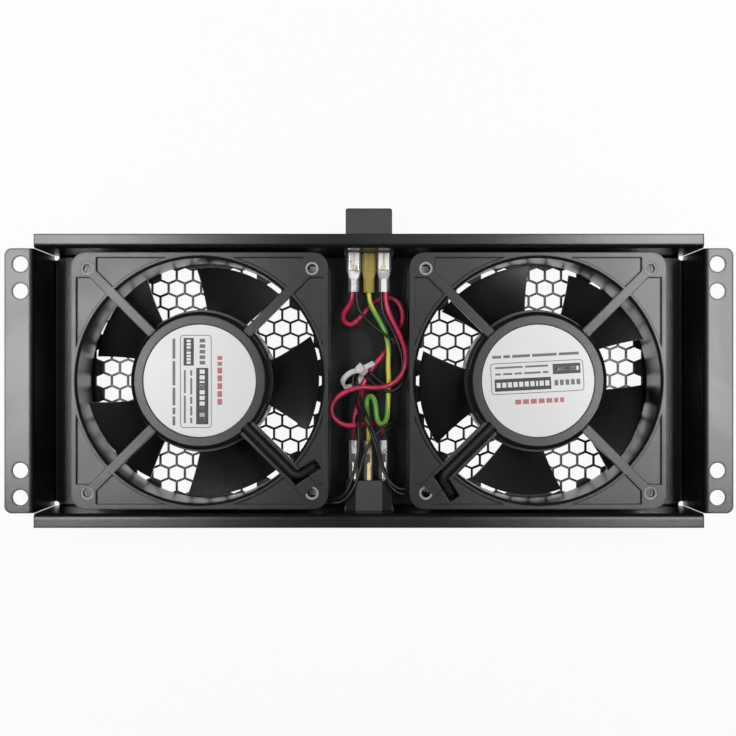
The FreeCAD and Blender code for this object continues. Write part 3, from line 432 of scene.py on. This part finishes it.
def finish_piece(piece, body, materials):
    """Links a new piece, gives it its finish and its body."""
    if piece.name not in bpy.context.scene.objects:
        bpy.context.scene.collection.objects.link(piece)
    for material in materials:
        piece.data.materials.append(material)
    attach(piece, body)
    return piece


def box_into(mesh, low, high, material=0):
    """Adds a block between two corners to a bmesh."""
    made = bmesh.ops.create_cube(mesh, size=1.0)["verts"]
    for vert in made:
        for axis in range(3):
            vert.co[axis] = low[axis] + (vert.co[axis] + 0.5) * (high[axis] - low[axis])
    for face in {f for v in made for f in v.link_faces}:
        face.material_index = material
    return made


def mesh_piece(name, mesh):
    """An object from a finished bmesh."""
    bmesh.ops.recalc_face_normals(mesh, faces=mesh.faces)
    data = bpy.data.meshes.new(name)
    mesh.to_mesh(data)
    mesh.free()
    return bpy.data.objects.new(name, data)


def fan_centre(side):
    """Middle of a fan's frame, at its lower face."""
    low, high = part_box(side + "_fan_frame")
    return Vector(((low[0] + high[0]) / 2, (low[1] + high[1]) / 2, low[2]))


# ------------------------------------------------------------------ wires
def route_curve(name, points, diameter):
    """A smooth wire on its route, in millimetres."""
    curve = bpy.data.curves.new(name, "CURVE")
    curve.dimensions = "3D"
    spline = curve.splines.new("NURBS")
    spline.points.add(len(points) - 1)
    for point, place in zip(spline.points, points):
        point.co = (place[0] * MM, place[1] * MM, place[2] * MM, 1.0)
    spline.order_u = 3
    spline.use_endpoint_u = True
    spline.resolution_u = 8
    curve.bevel_depth = diameter / 2
    curve.bevel_resolution = 4
    curve.use_fill_caps = True
    return bpy.data.objects.new(name, curve)


def route_line(points):
    """The smooth line through a route's control points, as points in metres."""
    guide = route_curve("guide", points, 0.0)
    bpy.context.scene.collection.objects.link(guide)
    bpy.context.view_layer.update()
    line = bpy.data.meshes.new_from_object(guide.evaluated_get(bpy.context.evaluated_depsgraph_get()))
    places = [v.co.copy() for v in line.vertices]
    bpy.data.meshes.remove(line)
    bpy.data.objects.remove(guide)
    return places


def line_length(places):
    """Length along a line of points."""
    return sum((b - a).length for a, b in zip(places, places[1:]))


def striped_tube(name, places, diameter, sides=14):
    """A round tube along a line. Its UV map runs round the wire and along it."""
    mesh = bmesh.new()
    around = mesh.loops.layers.uv.new("around")
    heading = (places[1] - places[0]).normalized()
    across = heading.orthogonal().normalized()
    rings = []
    travelled = [0.0]
    for index, place in enumerate(places):
        ahead = places[min(index + 1, len(places) - 1)]
        behind = places[max(index - 1, 0)]
        turned = (ahead - behind).normalized()
        across = (across - turned * across.dot(turned)).normalized()
        upward = turned.cross(across)
        ring = []
        for step in range(sides):
            angle = 2 * math.pi * step / sides
            offset = across * math.cos(angle) + upward * math.sin(angle)
            ring.append(mesh.verts.new(place + offset * diameter / 2))
        rings.append(ring)
        if index:
            travelled.append(travelled[-1] + (place - places[index - 1]).length)
    for index in range(len(rings) - 1):
        for step in range(sides):
            other = (step + 1) % sides
            face = mesh.faces.new(
                (rings[index][step], rings[index][other], rings[index + 1][other], rings[index + 1][step])
            )
            face.smooth = True
            corners = ((step, index), (step + 1, index), (step + 1, index + 1), (step, index + 1))
            for loop, (u, v) in zip(face.loops, corners):
                loop[around].uv = (u / sides, travelled[v] / diameter)
    mesh.faces.new(list(reversed(rings[0])))
    mesh.faces.new(rings[-1])
    return mesh_piece(name, mesh)


# The points each wire passes, in millimetres. The three mains wires run from the inlet to the outlet,
# the left fan's leads from its frame to the outlet, and the right fan's from its frame to the inlet.
LIVE_ROUTE = [
    (-7.95, 42.3, 24.2), (-7.95, 38.8, 24.2), (-9.9, 35.3, 22.8), (-12.4, 32.2, 21.0), (-12.2, 28.4, 18.8),
    (-8.8, 26.8, 17.0), (-5.4, 29.2, 15.8), (-2.0, 33.4, 15.0), (2.6, 38.2, 14.4), (7.8, 40.8, 14.4),
    (13.0, 39.6, 14.8), (16.2, 35.0, 15.4), (16.4, 28.2, 16.2), (13.4, 20.6, 17.0), (8.0, 14.0, 18.0),
    (2.4, 7.4, 19.2), (-1.8, 1.2, 20.4), (-3.6, -5.0, 20.6), (-5.0, -10.8, 19.4), (-6.8, -16.6, 18.6),
    (-7.15, -22.6, 19.4), (-7.15, -28.5, 19.4),
]
NEUTRAL_ROUTE = [
    (7.95, 42.3, 24.2), (7.95, 38.2, 24.2), (9.2, 33.2, 24.4), (12.0, 27.0, 25.6), (15.4, 20.6, 27.4),
    (17.5, 13.8, 29.2), (17.5, 6.8, 30.2), (14.4, 0.8, 30.2), (8.8, -2.8, 29.4), (2.4, -3.4, 27.8),
    (-3.8, -2.8, 26.6), (-9.8, -4.6, 26.4), (-15.0, -7.4, 26.8), (-18.2, -12.0, 27.2), (-17.4, -17.4, 27.2),
    (-12.6, -21.0, 26.6), (-7.2, -21.4, 25.0), (-2.2, -20.4, 21.6), (2.4, -19.8, 19.2), (5.6, -21.2, 18.8),
    (7.15, -24.4, 19.4), (7.15, -28.5, 19.4),
]
EARTH_ROUTE = [
    (0.0, 42.3, 20.2), (0.0, 38.6, 20.2), (2.0, 33.8, 20.8), (5.6, 28.0, 21.6), (8.6, 21.6, 22.0),
    (9.6, 14.4, 22.4), (9.1, 7.2, 22.8), (9.6, 0.2, 22.6), (9.2, -6.6, 22.0), (9.0, -13.0, 21.8),
    (8.8, -17.4, 22.6), (7.4, -20.6, 23.8), (4.6, -20.2, 24.8), (3.6, -16.4, 25.2), (3.2, -11.0, 24.8),
    (1.8, -7.2, 23.4), (-0.6, -7.8, 21.6), (-1.2, -11.8, 21.2), (-0.8, -16.4, 22.8), (0.0, -21.6, 24.2),
    (0.0, -28.5, 24.2),
]
LEFT_LEAD_A = [
    (-25.88, -41.06, 32.5), (-23.75, -39.7, 31.08), (-22.8, -42.4, 27.8), (-23.6, -48.0, 26.8),
    (-22.2, -53.4, 28.4), (-19.2, -57.2, 31.0), (-14.4, -57.8, 32.2), (-10.0, -55.0, 32.6),
    (-6.8, -49.8, 32.6), (-4.4, -43.2, 31.6), (-2.8, -36.0, 30.6), (0.4, -29.4, 29.8), (4.8, -23.8, 28.8),
    (9.6, -20.4, 27.4), (12.6, -19.4, 24.8), (11.2, -21.8, 22.2), (8.0, -24.0, 21.5), (7.15, -26.6, 21.45),
    (7.15, -28.5, 21.45),
]
LEFT_LEAD_B = [
    (-26.72, -39.74, 32.5), (-23.5, -37.67, 30.34), (-20.9, -40.4, 27.8), (-21.2, -46.8, 26.8),
    (-20.4, -52.2, 28.2), (-17.4, -55.9, 29.8), (-13.8, -55.6, 31.2), (-10.4, -52.4, 32.2),
    (-8.2, -47.0, 32.0), (-6.4, -40.8, 30.8), (-5.2, -34.2, 29.4), (-4.8, -27.4, 28.6), (-5.0, -21.2, 28.2),
    (-5.4, -16.6, 25.8), (-5.6, -17.2, 22.9), (-6.7, -21.4, 21.5), (-7.15, -25.4, 21.45),
    (-7.15, -28.5, 21.45),
]
RIGHT_LEAD_A = [
    (37.94, -53.12, 32.5), (39.3, -55.25, 31.08), (36.6, -56.2, 27.8), (31.0, -55.4, 26.8),
    (25.4, -53.4, 29.6), (19.8, -50.6, 32.2), (14.8, -51.2, 33.6), (10.6, -48.8, 34.0), (7.4, -43.8, 33.2),
    (5.0, -37.4, 32.8), (3.0, -30.2, 33.2), (0.8, -23.2, 32.2), (-3.4, -17.0, 29.8), (-5.8, -11.6, 27.2),
    (-6.2, -6.8, 24.6), (-7.0, -3.2, 23.9), (-7.9, 0.2, 23.6), (-7.2, 3.8, 23.2), (-3.4, 5.9, 23.2),
    (1.4, 3.6, 24.2), (5.6, -0.8, 25.6), (10.2, -3.4, 26.8), (14.2, 0.0, 27.0), (16.2, 5.6, 26.9),
    (15.8, 12.2, 26.9), (13.4, 19.2, 26.4), (10.4, 26.0, 25.0), (6.6, 32.0, 24.2), (5.9, 38.2, 24.2),
    (5.9, 42.3, 24.2),
]
RIGHT_LEAD_B = [
    (39.26, -52.28, 32.5), (41.33, -55.5, 30.34), (38.6, -58.1, 27.8), (32.2, -57.8, 26.8),
    (26.0, -56.6, 28.2), (19.8, -53.4, 30.8), (15.4, -53.6, 32.0), (11.4, -51.4, 32.6), (8.6, -46.8, 32.2),
    (6.6, -40.4, 31.0), (5.0, -33.2, 31.4), (2.9, -26.0, 31.6), (0.4, -19.2, 29.8), (-2.6, -13.2, 27.2),
    (-4.2, -8.6, 25.0), (-5.0, -4.6, 24.0), (-5.7, -0.6, 23.8), (-6.4, 2.0, 22.4), (-4.2, 3.6, 21.4),
    (-1.4, 2.6, 22.8), (2.6, -1.6, 24.4), (6.8, -4.8, 25.6), (11.8, -5.2, 26.4), (16.0, -1.4, 26.2),
    (18.4, 4.8, 25.8), (18.0, 11.4, 25.2), (14.4, 17.2, 24.8), (8.8, 21.4, 24.6), (3.0, 25.2, 24.4),
    (-1.8, 29.8, 24.2), (-5.0, 34.0, 24.2), (-5.9, 38.6, 24.2), (-5.9, 42.3, 24.2),
]


def stretch_of(places, start, end):
    """The points of a line between two distances from its beginning."""
    kept, travelled = [], 0.0
    for before, place in zip([places[0]] + places, places):
        travelled += (place - before).length
        if start <= travelled <= end:
            kept.append(place)
    return kept


def lay_wire(name, node, route, diameter, material):
    piece = route_curve(name, route, diameter)
    finish_piece(piece, "tray", [material])
    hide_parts(node)
    line_length(route_line(route))


# ------------------------------------------------------------------ operators
class FANTRAY_OT_coat_pan(bpy.types.Operator):
    """Gives the folded pan its fine-textured powder coat"""
    bl_idname = "fantray.coat_pan"
    bl_label = "Coat the Pan"

    def execute(self, context):
        values = context.scene.tray_finish
        # The pan's edges take the rubbed coat: wear together with a painted highlight of its bends.
        coat = grained("powder coat", values.coat, values.fleck, roughness=values.coat_roughness,
                       grain=values.grain, depth=0.00005, edge=0.0011, edge_colour=values.rubbed_and_highlit, unevenness=0.6)
        paint("tray_pan", coat)
        return {"FINISHED"}


class FANTRAY_OT_paint_fans(bpy.types.Operator):
    """Paints both fan frames, their impellers, rotors and the pieces inside the motors"""
    bl_idname = "fantray.paint_fans"
    bl_label = "Paint the Fans"

    def execute(self, context):
        values = context.scene.fan_finish
        metals = context.scene.motor_finish
        casting = grained("frame paint", values.frame_paint, values.frame_high, roughness=0.3,
                          grain=0.0009, depth=0.00006, edge=0.0007)
        blades = grained("blade plastic", values.blade, [1.6 * c for c in values.blade], roughness=0.33,
                         grain=0.0016, depth=0.00003, edge=0.0005)
        cup = grained("cup paint", values.cup, [1.6 * c for c in values.cup], roughness=0.4,
                      grain=0.001, depth=0.00003)
        core = metal("core steel", metals.core, roughness=0.4, brushed=0.3)
        copper = metal("winding copper", metals.copper, roughness=0.3, brushed=0.5)
        bronze = metal("bearing bronze", metals.bronze, roughness=0.45)
        ground = metal("ground steel", metals.ground, roughness=0.22)
        spring = metal("spring steel", metals.spring, roughness=0.35)
        zinc = metal("zinc plate", metals.zinc, roughness=0.3)
        tube = context.scene.wire_finish.sleeve
        sleeve = grained("lead sleeve", tube, [2.5 * c for c in tube], roughness=0.6, grain=0.0006,
                         depth=0.00008)
        finishes = {
            "_fan_frame": casting, "_impeller": blades, "_rotor_cup": cup, "_rotor_ring": core,
            "_stator_core": core, "_stator_coils": copper, "_bearings": bronze, "_rotor_shaft": ground,
            "_circlip": spring, "_fan_screws": zinc, "_fan_nuts": zinc, "_lead_sleeve": sleeve,
        }
        for side in ("left", "right"):
            for ending, finish in finishes.items():
                paint(side + ending, finish)
        return {"FINISHED"}


def ring_nodes(material):
    """Geometry nodes that set a flat bevelled ring on every point of a mesh."""
    tree = bpy.data.node_groups.new("hole rings", "GeometryNodeTree")
    tree.interface.new_socket("Places", in_out="INPUT", socket_type="NodeSocketGeometry")
    for label, default in (("Inner Radius", 0.0022), ("Width", 0.0009), ("Drop", 0.0009)):
        socket = tree.interface.new_socket(label, in_out="INPUT", socket_type="NodeSocketFloat")
        socket.default_value = default
    tree.interface.new_socket("Rings", in_out="OUTPUT", socket_type="NodeSocketGeometry")
    nodes, links = tree.nodes, tree.links
    start, end = nodes.new("NodeGroupInput"), nodes.new("NodeGroupOutput")
    outer = nodes.new("ShaderNodeMath")
    outer.operation = "ADD"
    links.new(start.outputs["Inner Radius"], outer.inputs[0])
    links.new(start.outputs["Width"], outer.inputs[1])
    cone = nodes.new("GeometryNodeMeshCone")
    cone.fill_type = "NONE"
    cone.inputs["Vertices"].default_value = 40
    links.new(start.outputs["Inner Radius"], cone.inputs["Radius Bottom"])
    links.new(outer.outputs[0], cone.inputs["Radius Top"])
    links.new(start.outputs["Drop"], cone.inputs["Depth"])
    flip = nodes.new("GeometryNodeFlipFaces")
    links.new(cone.outputs["Mesh"], flip.inputs[0])
    spread = nodes.new("GeometryNodeInstanceOnPoints")
    links.new(start.outputs["Places"], spread.inputs["Points"])
    links.new(flip.outputs[0], spread.inputs["Instance"])
    real = nodes.new("GeometryNodeRealizeInstances")
    links.new(spread.outputs[0], real.inputs[0])
    finish = nodes.new("GeometryNodeSetMaterial")
    finish.inputs["Material"].default_value = material
    links.new(real.outputs[0], finish.inputs["Geometry"])
    links.new(finish.outputs[0], end.inputs["Rings"])
    return tree


def grown(name, points, tree, values):
    """The plain mesh that a geometry-nodes tree makes on some points."""
    seed = bpy.data.meshes.new(name + " places")
    seed.from_pydata([tuple(p) for p in points], [], [])
    holder = bpy.data.objects.new(name + " places", seed)
    bpy.context.scene.collection.objects.link(holder)
    modifier = holder.modifiers.new("grow", "NODES")
    modifier.node_group = tree
    sockets = {s.name: s.identifier for s in tree.interface.items_tree if s.in_out == "INPUT"}
    for label, value in values.items():
        modifier[sockets[label]] = value
    bpy.context.view_layer.update()
    result = holder.evaluated_get(bpy.context.evaluated_depsgraph_get())
    data = bpy.data.meshes.new_from_object(result)
    data.name = name
    holder.modifiers.remove(modifier)
    bpy.data.objects.remove(holder)
    if not data.vertices:
        raise RuntimeError(name + " came out empty")
    return bpy.data.objects.new(name, data)


class FANTRAY_OT_bare_rings(bpy.types.Operator):
    """Sets the bare machined bevels in the frames' upper holes, in a light grey that is partly a painted
    highlight
    """
    bl_idname = "fantray.bare_rings"
    bl_label = "Bare Hole Bevels"

    def execute(self, context):
        values = context.scene.fan_finish
        # A non-metallic light grey, so that the bevel shows a painted highlight from every side as well as
        # bare metal.
        bare = grained("bare bevel", values.bare_metal_highlight, [1.1 * c for c in values.bare_metal_highlight], roughness=0.3,
                       grain=0.0006, depth=0.00001, edge=0.0001)
        tree = ring_nodes(bare)
        sizes = {"Inner Radius": values.hole_radius, "Width": values.ring_width, "Drop": values.ring_drop}
        for side in ("left", "right"):
            centre = fan_centre(side)
            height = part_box(side + "_fan_frame")[1][2] - values.ring_drop + values.ring_lift
            points = []
            for along in (-values.hole_reach, values.hole_reach):
                for across in (-values.hole_reach, values.hole_reach):
                    points.append((centre.x + along, centre.y + across, height))
            rings = grown(side + "_bare_bevels", points, tree, sizes)
            finish_piece(rings, "tray", [])
        return {"FINISHED"}


class FANTRAY_OT_print_labels(bpy.types.Operator):
    """Lays the generic print on both motor labels"""
    bl_idname = "fantray.print_labels"
    bl_label = "Print the Labels"

    def execute(self, context):
        values = context.scene.label_finish
        foil = grained("label foil", values.foil, [min(1.0, 1.05 * c) for c in values.foil],
                       roughness=0.32, grain=0.004, depth=0.00001, edge=0.0002, edge_colour=(0.7, 0.7, 0.7))
        ink = label_ink("label ink", values.ink, [2 * c for c in values.ink])
        fine = label_ink("fine ink", values.fine_ink, values.fine_ink)
        red = label_ink("red ink", values.red_ink, values.red_ink)
        for side, turn in LABEL_TURNS.items():
            paint(side + "_hub_label", foil)
            low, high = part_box(side + "_hub_label")
            centre = Vector(((low[0] + high[0]) / 2, (low[1] + high[1]) / 2, high[2]))
            piece = mesh_piece(side + "_label_print", label_print(values.line, values.ink_depth))
            piece.data.transform(Matrix.Translation(centre) @ Matrix.Rotation(math.radians(turn), 4, "Z"))
            finish_piece(piece, "tray", [ink, fine, red, foil])
        return {"FINISHED"}


def label_ink(name, base, high):
    """A thin satin ink."""
    return grained(name, base, high, roughness=0.4, grain=0.002, depth=0.00001, edge=0.00005)


# The label's materials, in the order of its slots, and how far each label is turned, in degrees.
INK, FINE_INK, RED_INK, FOIL = range(4)
LABEL_TURNS = {"left": -90.0, "right": 183.0}
# The print, in millimetres from the label's middle: its outline, its dark bars, and lines of small
# blocks, each with its two ends, its height above the middle, its thickness, the blocks' widths, the
# gap between them and its ink. The foil's lines stand on the dark bars.
OUTLINE = (-21.4, -9.1, 22.0, 5.6)
OUTLINE_CORNER = 1.6
DARK_BARS = ((-6.0, -1.6, 20.3, 4.1), (-20.0, -7.5, -7.1, -2.7))
PRINT_LINES = (
    (-5.2, 19.5, 1.2, 2.4, (2, 2, 1, 2, 2, 2, 2, 2, 2, 2), 0.7, FOIL),
    (-19.2, -7.9, -5.1, 1.9, (2, 2, 2, 1, 2, 2, 2, 2), 0.7, FOIL),
    (-19.6, -7.6, 1.3, 2.6, (2, 2, 2, 2, 2), 1.0, FINE_INK),
    (-5.0, 19.8, -3.9, 0.9, (3, 9, 4, 5, 3), 1.2, FINE_INK),
    (-5.0, 19.8, -6.9, 0.9, (10, 12), 1.0, FINE_INK),
    (-19.6, 20.8, -12.0, 1.3, (9, 11, 8, 3, 4), 1.0, FINE_INK),
    (-11.6, 11.2, 9.4, 2.2, (2, 2, 3, 3, 3, 3, 3), 0.9, RED_INK),
)


def bar(mesh, x0, y0, x1, y1, depth, material, low=0.0):
    """A printed bar, in millimetres on the label."""
    box_into(mesh, (x0 * MM, y0 * MM, low), (x1 * MM, y1 * MM, low + depth), material)


def rounded_outline(mesh, x0, y0, x1, y1, radius, width, depth, material, steps=6):
    """A thin rounded rectangle, in millimetres on the label."""
    rings = []
    for inset in (0.0, width):
        ring = []
        for cx, cy, start in ((x1, y1, 0), (x0, y1, 90), (x0, y0, 180), (x1, y0, 270)):
            mx = cx - radius if cx == x1 else cx + radius
            my = cy - radius if cy == y1 else cy + radius
            for step in range(steps + 1):
                angle = math.radians(start + 90 * step / steps)
                reach = radius - inset
                ring.append((mx + reach * math.cos(angle), my + reach * math.sin(angle)))
        rings.append(ring)
    layers = []
    for height in (0.0, depth):
        layers.append([[mesh.verts.new((x * MM, y * MM, height)) for x, y in ring] for ring in rings])
    count = len(rings[0])
    for index in range(count):
        after = (index + 1) % count
        (low_out, low_in), (top_out, top_in) = layers
        for a, b in ((top_out, top_in), (low_in, low_out), (low_out, top_out), (top_in, low_in)):
            face = mesh.faces.new((a[index], a[after], b[after], b[index]))
            face.material_index = material


def dashes(mesh, x0, x1, y, height, pattern, gap, depth, material, low=0.0):
    """A broken line of small blocks that stands for fine print."""
    total = sum(pattern) + gap * (len(pattern) - 1)
    scale = (x1 - x0) / total
    at = x0
    for width in pattern:
        bar(mesh, at, y - height / 2, at + width * scale, y + height / 2, depth, material, low)
        at += (width + gap) * scale


def label_print(line, depth):
    """The generic print of a motor label, about the label's middle."""
    mesh = bmesh.new()
    rounded_outline(mesh, *OUTLINE, OUTLINE_CORNER, line / MM, depth, FINE_INK)
    for corners in DARK_BARS:
        bar(mesh, *corners, depth, INK)
    for x0, x1, y, height, pattern, gap, ink in PRINT_LINES:
        on_bar = ink == FOIL
        dashes(mesh, x0, x1, y, height, pattern, gap, depth / 2 if on_bar else depth, ink,
               low=depth if on_bar else 0.0)
    return mesh


class FANTRAY_OT_finish_couplers(bpy.types.Operator):
    """Gives the power couplers, their contacts and the crimps their plastics and metals"""
    bl_idname = "fantray.finish_couplers"
    bl_label = "Finish the Couplers"

    def execute(self, context):
        values = context.scene.wire_finish
        plastic = grained("coupler plastic", values.housing, values.housing_high, roughness=0.45,
                          grain=0.0008, depth=0.00004)
        tinned = metal("tinned crimp", values.tinned, roughness=0.24, brushed=0.2)
        brass = metal("brass crimp", values.brass, roughness=0.3, brushed=0.2)
        for node in ("inlet_body", "outlet_body"):
            paint(node, plastic)
        for node in ("inlet_pins", "outlet_contacts", "inlet_earth_receptacle", "outlet_earth_receptacle"):
            paint(node, brass)
        for node in ("inlet_receptacles", "outlet_receptacles"):
            paint(node, tinned)
        clear = clear_plastic("clear boot", values.boot, facing=0.07, grazing=0.6)
        yellow = clear_plastic("yellow boot", values.earth_boot, facing=0.42, grazing=0.85)
        for node in ("inlet_boots", "outlet_boots", "outlet_earth_boot"):
            paint(node, clear)
        paint("inlet_earth_boot", yellow)
        nylon = grained("tie nylon", values.tie, (0.95, 0.95, 0.93), roughness=0.4, grain=0.0012,
                        depth=0.00002, edge=0.0003, edge_colour=(0.9, 0.9, 0.88))
        paint("cable_tie", nylon)
        return {"FINISHED"}


class FANTRAY_OT_lay_wires(bpy.types.Operator):
    """Lays the mains wires, the earth wire and the fan leads in the bay"""
    bl_idname = "fantray.lay_wires"
    bl_label = "Lay the Wires"

    def execute(self, context):
        values = context.scene.wire_finish
        red = insulation("red insulation", values.red)
        black = insulation("black insulation", values.black, 0.35)
        lay_wire("live_run", "live_wire", LIVE_ROUTE, values.mains, red)
        lay_wire("neutral_run", "neutral_wire", NEUTRAL_ROUTE, values.mains, red)
        leads = {
            "left_lead_a": LEFT_LEAD_A, "left_lead_b": LEFT_LEAD_B,
            "right_lead_a": RIGHT_LEAD_A, "right_lead_b": RIGHT_LEAD_B,
        }
        woven = grained("woven sleeve", values.woven, values.woven_high, roughness=0.6, grain=0.0005,
                        depth=0.0001)
        for node, route in leads.items():
            reach = values.left_sleeve if node.startswith("left") else values.right_sleeve
            line = stretch_of(route_line(route), reach - values.sleeve_length, reach)
            sleeve = striped_tube(node + "_sleeve", line, values.lead + values.sleeve_wall)
            finish_piece(sleeve, "tray", [woven])
            lay_wire(node + "_run", node, route, values.lead, black)
        places = route_line(EARTH_ROUTE)
        earth = striped_tube("earth_run", places, values.mains)
        finish_piece(earth, "tray", [striped_insulation(values)])
        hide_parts("earth_wire")
        return {"FINISHED"}


class FANTRAY_OT_set_stage(bpy.types.Operator):
    """Sets the table top, the lamps and the camera"""
    bl_idname = "fantray.set_stage"
    bl_label = "Set the Stage"

    def execute(self, context):
        values = context.scene.stage_finish
        scene = context.scene
        scene.view_settings.view_transform = "Standard"
        table = bpy.data.meshes.new("table_top")
        reach, low = values.table_reach, -values.table_gap
        corners = [(-reach, -reach, low), (reach, -reach, low), (reach, reach, low), (-reach, reach, low)]
        table.from_pydata(corners, [], [(0, 1, 2, 3)])
        top = bpy.data.objects.new("table_top", table)
        scene.collection.objects.link(top)
        table.materials.append(table_white(values.table_glow))
        light_sky(scene, values.sky)
        for side in (-1, 1):
            place = (side * values.softbox_aside, values.softbox_along, values.softbox_height)
            size = (values.softbox_width, values.softbox_length)
            name = "left_softbox" if side < 0 else "right_softbox"
            add_softbox(scene, name, place, size, values.softbox, values.softbox_spread)
        data = bpy.data.cameras.new("camera")
        data.lens = values.lens
        data.sensor_width = 36.0
        data.shift_x = values.shift_x
        data.shift_y = values.shift_y
        data.clip_start = 0.01
        camera = bpy.data.objects.new("camera", data)
        camera.location = (0.0, 0.0, values.camera_height)
        scene.collection.objects.link(camera)
        scene.camera = camera
        return {"FINISHED"}


def table_white(glow):
    """A white table top that still takes the tray's shadow."""
    material = bpy.data.materials.new("table white")
    material.use_nodes = True
    material.node_tree.nodes.clear()
    shade = Shade(material.node_tree)
    end = shade.add("ShaderNodeOutputMaterial")
    diffuse = shade.add("ShaderNodeBsdfDiffuse")
    diffuse.inputs["Color"].default_value = (0.95, 0.95, 0.95, 1.0)
    own = shade.add("ShaderNodeEmission")
    path = shade.add("ShaderNodeLightPath")
    seen = shade.math("MAXIMUM", path.outputs["Is Camera Ray"], path.outputs["Is Glossy Ray"])
    seen = shade.math("MAXIMUM", seen, path.outputs["Is Transmission Ray"])
    blend = shade.add("ShaderNodeMixShader")
    shade.link(shade.math("MULTIPLY", seen, glow), blend.inputs[0])
    shade.link(diffuse.outputs[0], blend.inputs[1])
    shade.link(own.outputs[0], blend.inputs[2])
    shade.link(blend.outputs[0], end.inputs["Surface"])
    return material


def light_sky(scene, strength):
    """Even light from all round."""
    world = bpy.data.worlds.new("studio")
    world.use_nodes = True
    world.node_tree.nodes["Background"].inputs["Color"].default_value = (1.0, 1.0, 1.0, 1.0)
    world.node_tree.nodes["Background"].inputs["Strength"].default_value = strength
    scene.world = world


def add_softbox(scene, name, place, size, power, spread):
    """A soft oblong lamp with a grid, which looks straight down."""
    data = bpy.data.lights.new(name, "AREA")
    data.spread = math.radians(spread)
    data.shape = "RECTANGLE"
    data.energy = power
    data.size, data.size_y = size
    lamp = bpy.data.objects.new(name, data)
    lamp.location = place
    scene.collection.objects.link(lamp)


class FANTRAY_PT_panel(bpy.types.Panel):
    """Steps of the fan tray's finish, in order"""
    bl_label = "Fan Tray"
    bl_idname = "FANTRAY_PT_panel"
    bl_space_type = "VIEW_3D"
    bl_region_type = "UI"
    bl_category = "Fan Tray"

    def draw(self, context):
        for step in STEPS:
            self.layout.operator(step.bl_idname)


SETTINGS = {
    "tray_finish": TrayFinish,
    "fan_finish": FanFinish,
    "motor_finish": MotorFinish,
    "label_finish": LabelFinish,
    "wire_finish": WireFinish,
    "stage_finish": StageFinish,
}
STEPS = (
    FANTRAY_OT_set_stage,
    FANTRAY_OT_coat_pan,
    FANTRAY_OT_paint_fans,
    FANTRAY_OT_bare_rings,
    FANTRAY_OT_print_labels,
    FANTRAY_OT_finish_couplers,
    FANTRAY_OT_lay_wires,
)


def register():
    for group in SETTINGS.values():
        bpy.utils.register_class(group)
    for step in STEPS:
        bpy.utils.register_class(step)
    bpy.utils.register_class(FANTRAY_PT_panel)
    for name, group in SETTINGS.items():
        setattr(bpy.types.Scene, name, bpy.props.PointerProperty(type=group))


def unregister():
    for name in SETTINGS:
        delattr(bpy.types.Scene, name)
    bpy.utils.unregister_class(FANTRAY_PT_panel)
    for step in reversed(STEPS):
        bpy.utils.unregister_class(step)
    for group in SETTINGS.values():
        bpy.utils.unregister_class(group)


def main():
    """Runs every step in order."""
    register()
    bpy.ops.fantray.set_stage()
    bpy.ops.fantray.coat_pan()
    bpy.ops.fantray.paint_fans()
    bpy.ops.fantray.bare_rings()
    bpy.ops.fantray.print_labels()
    bpy.ops.fantray.finish_couplers()
    bpy.ops.fantray.lay_wires()


if __name__ == "__main__":
    main()
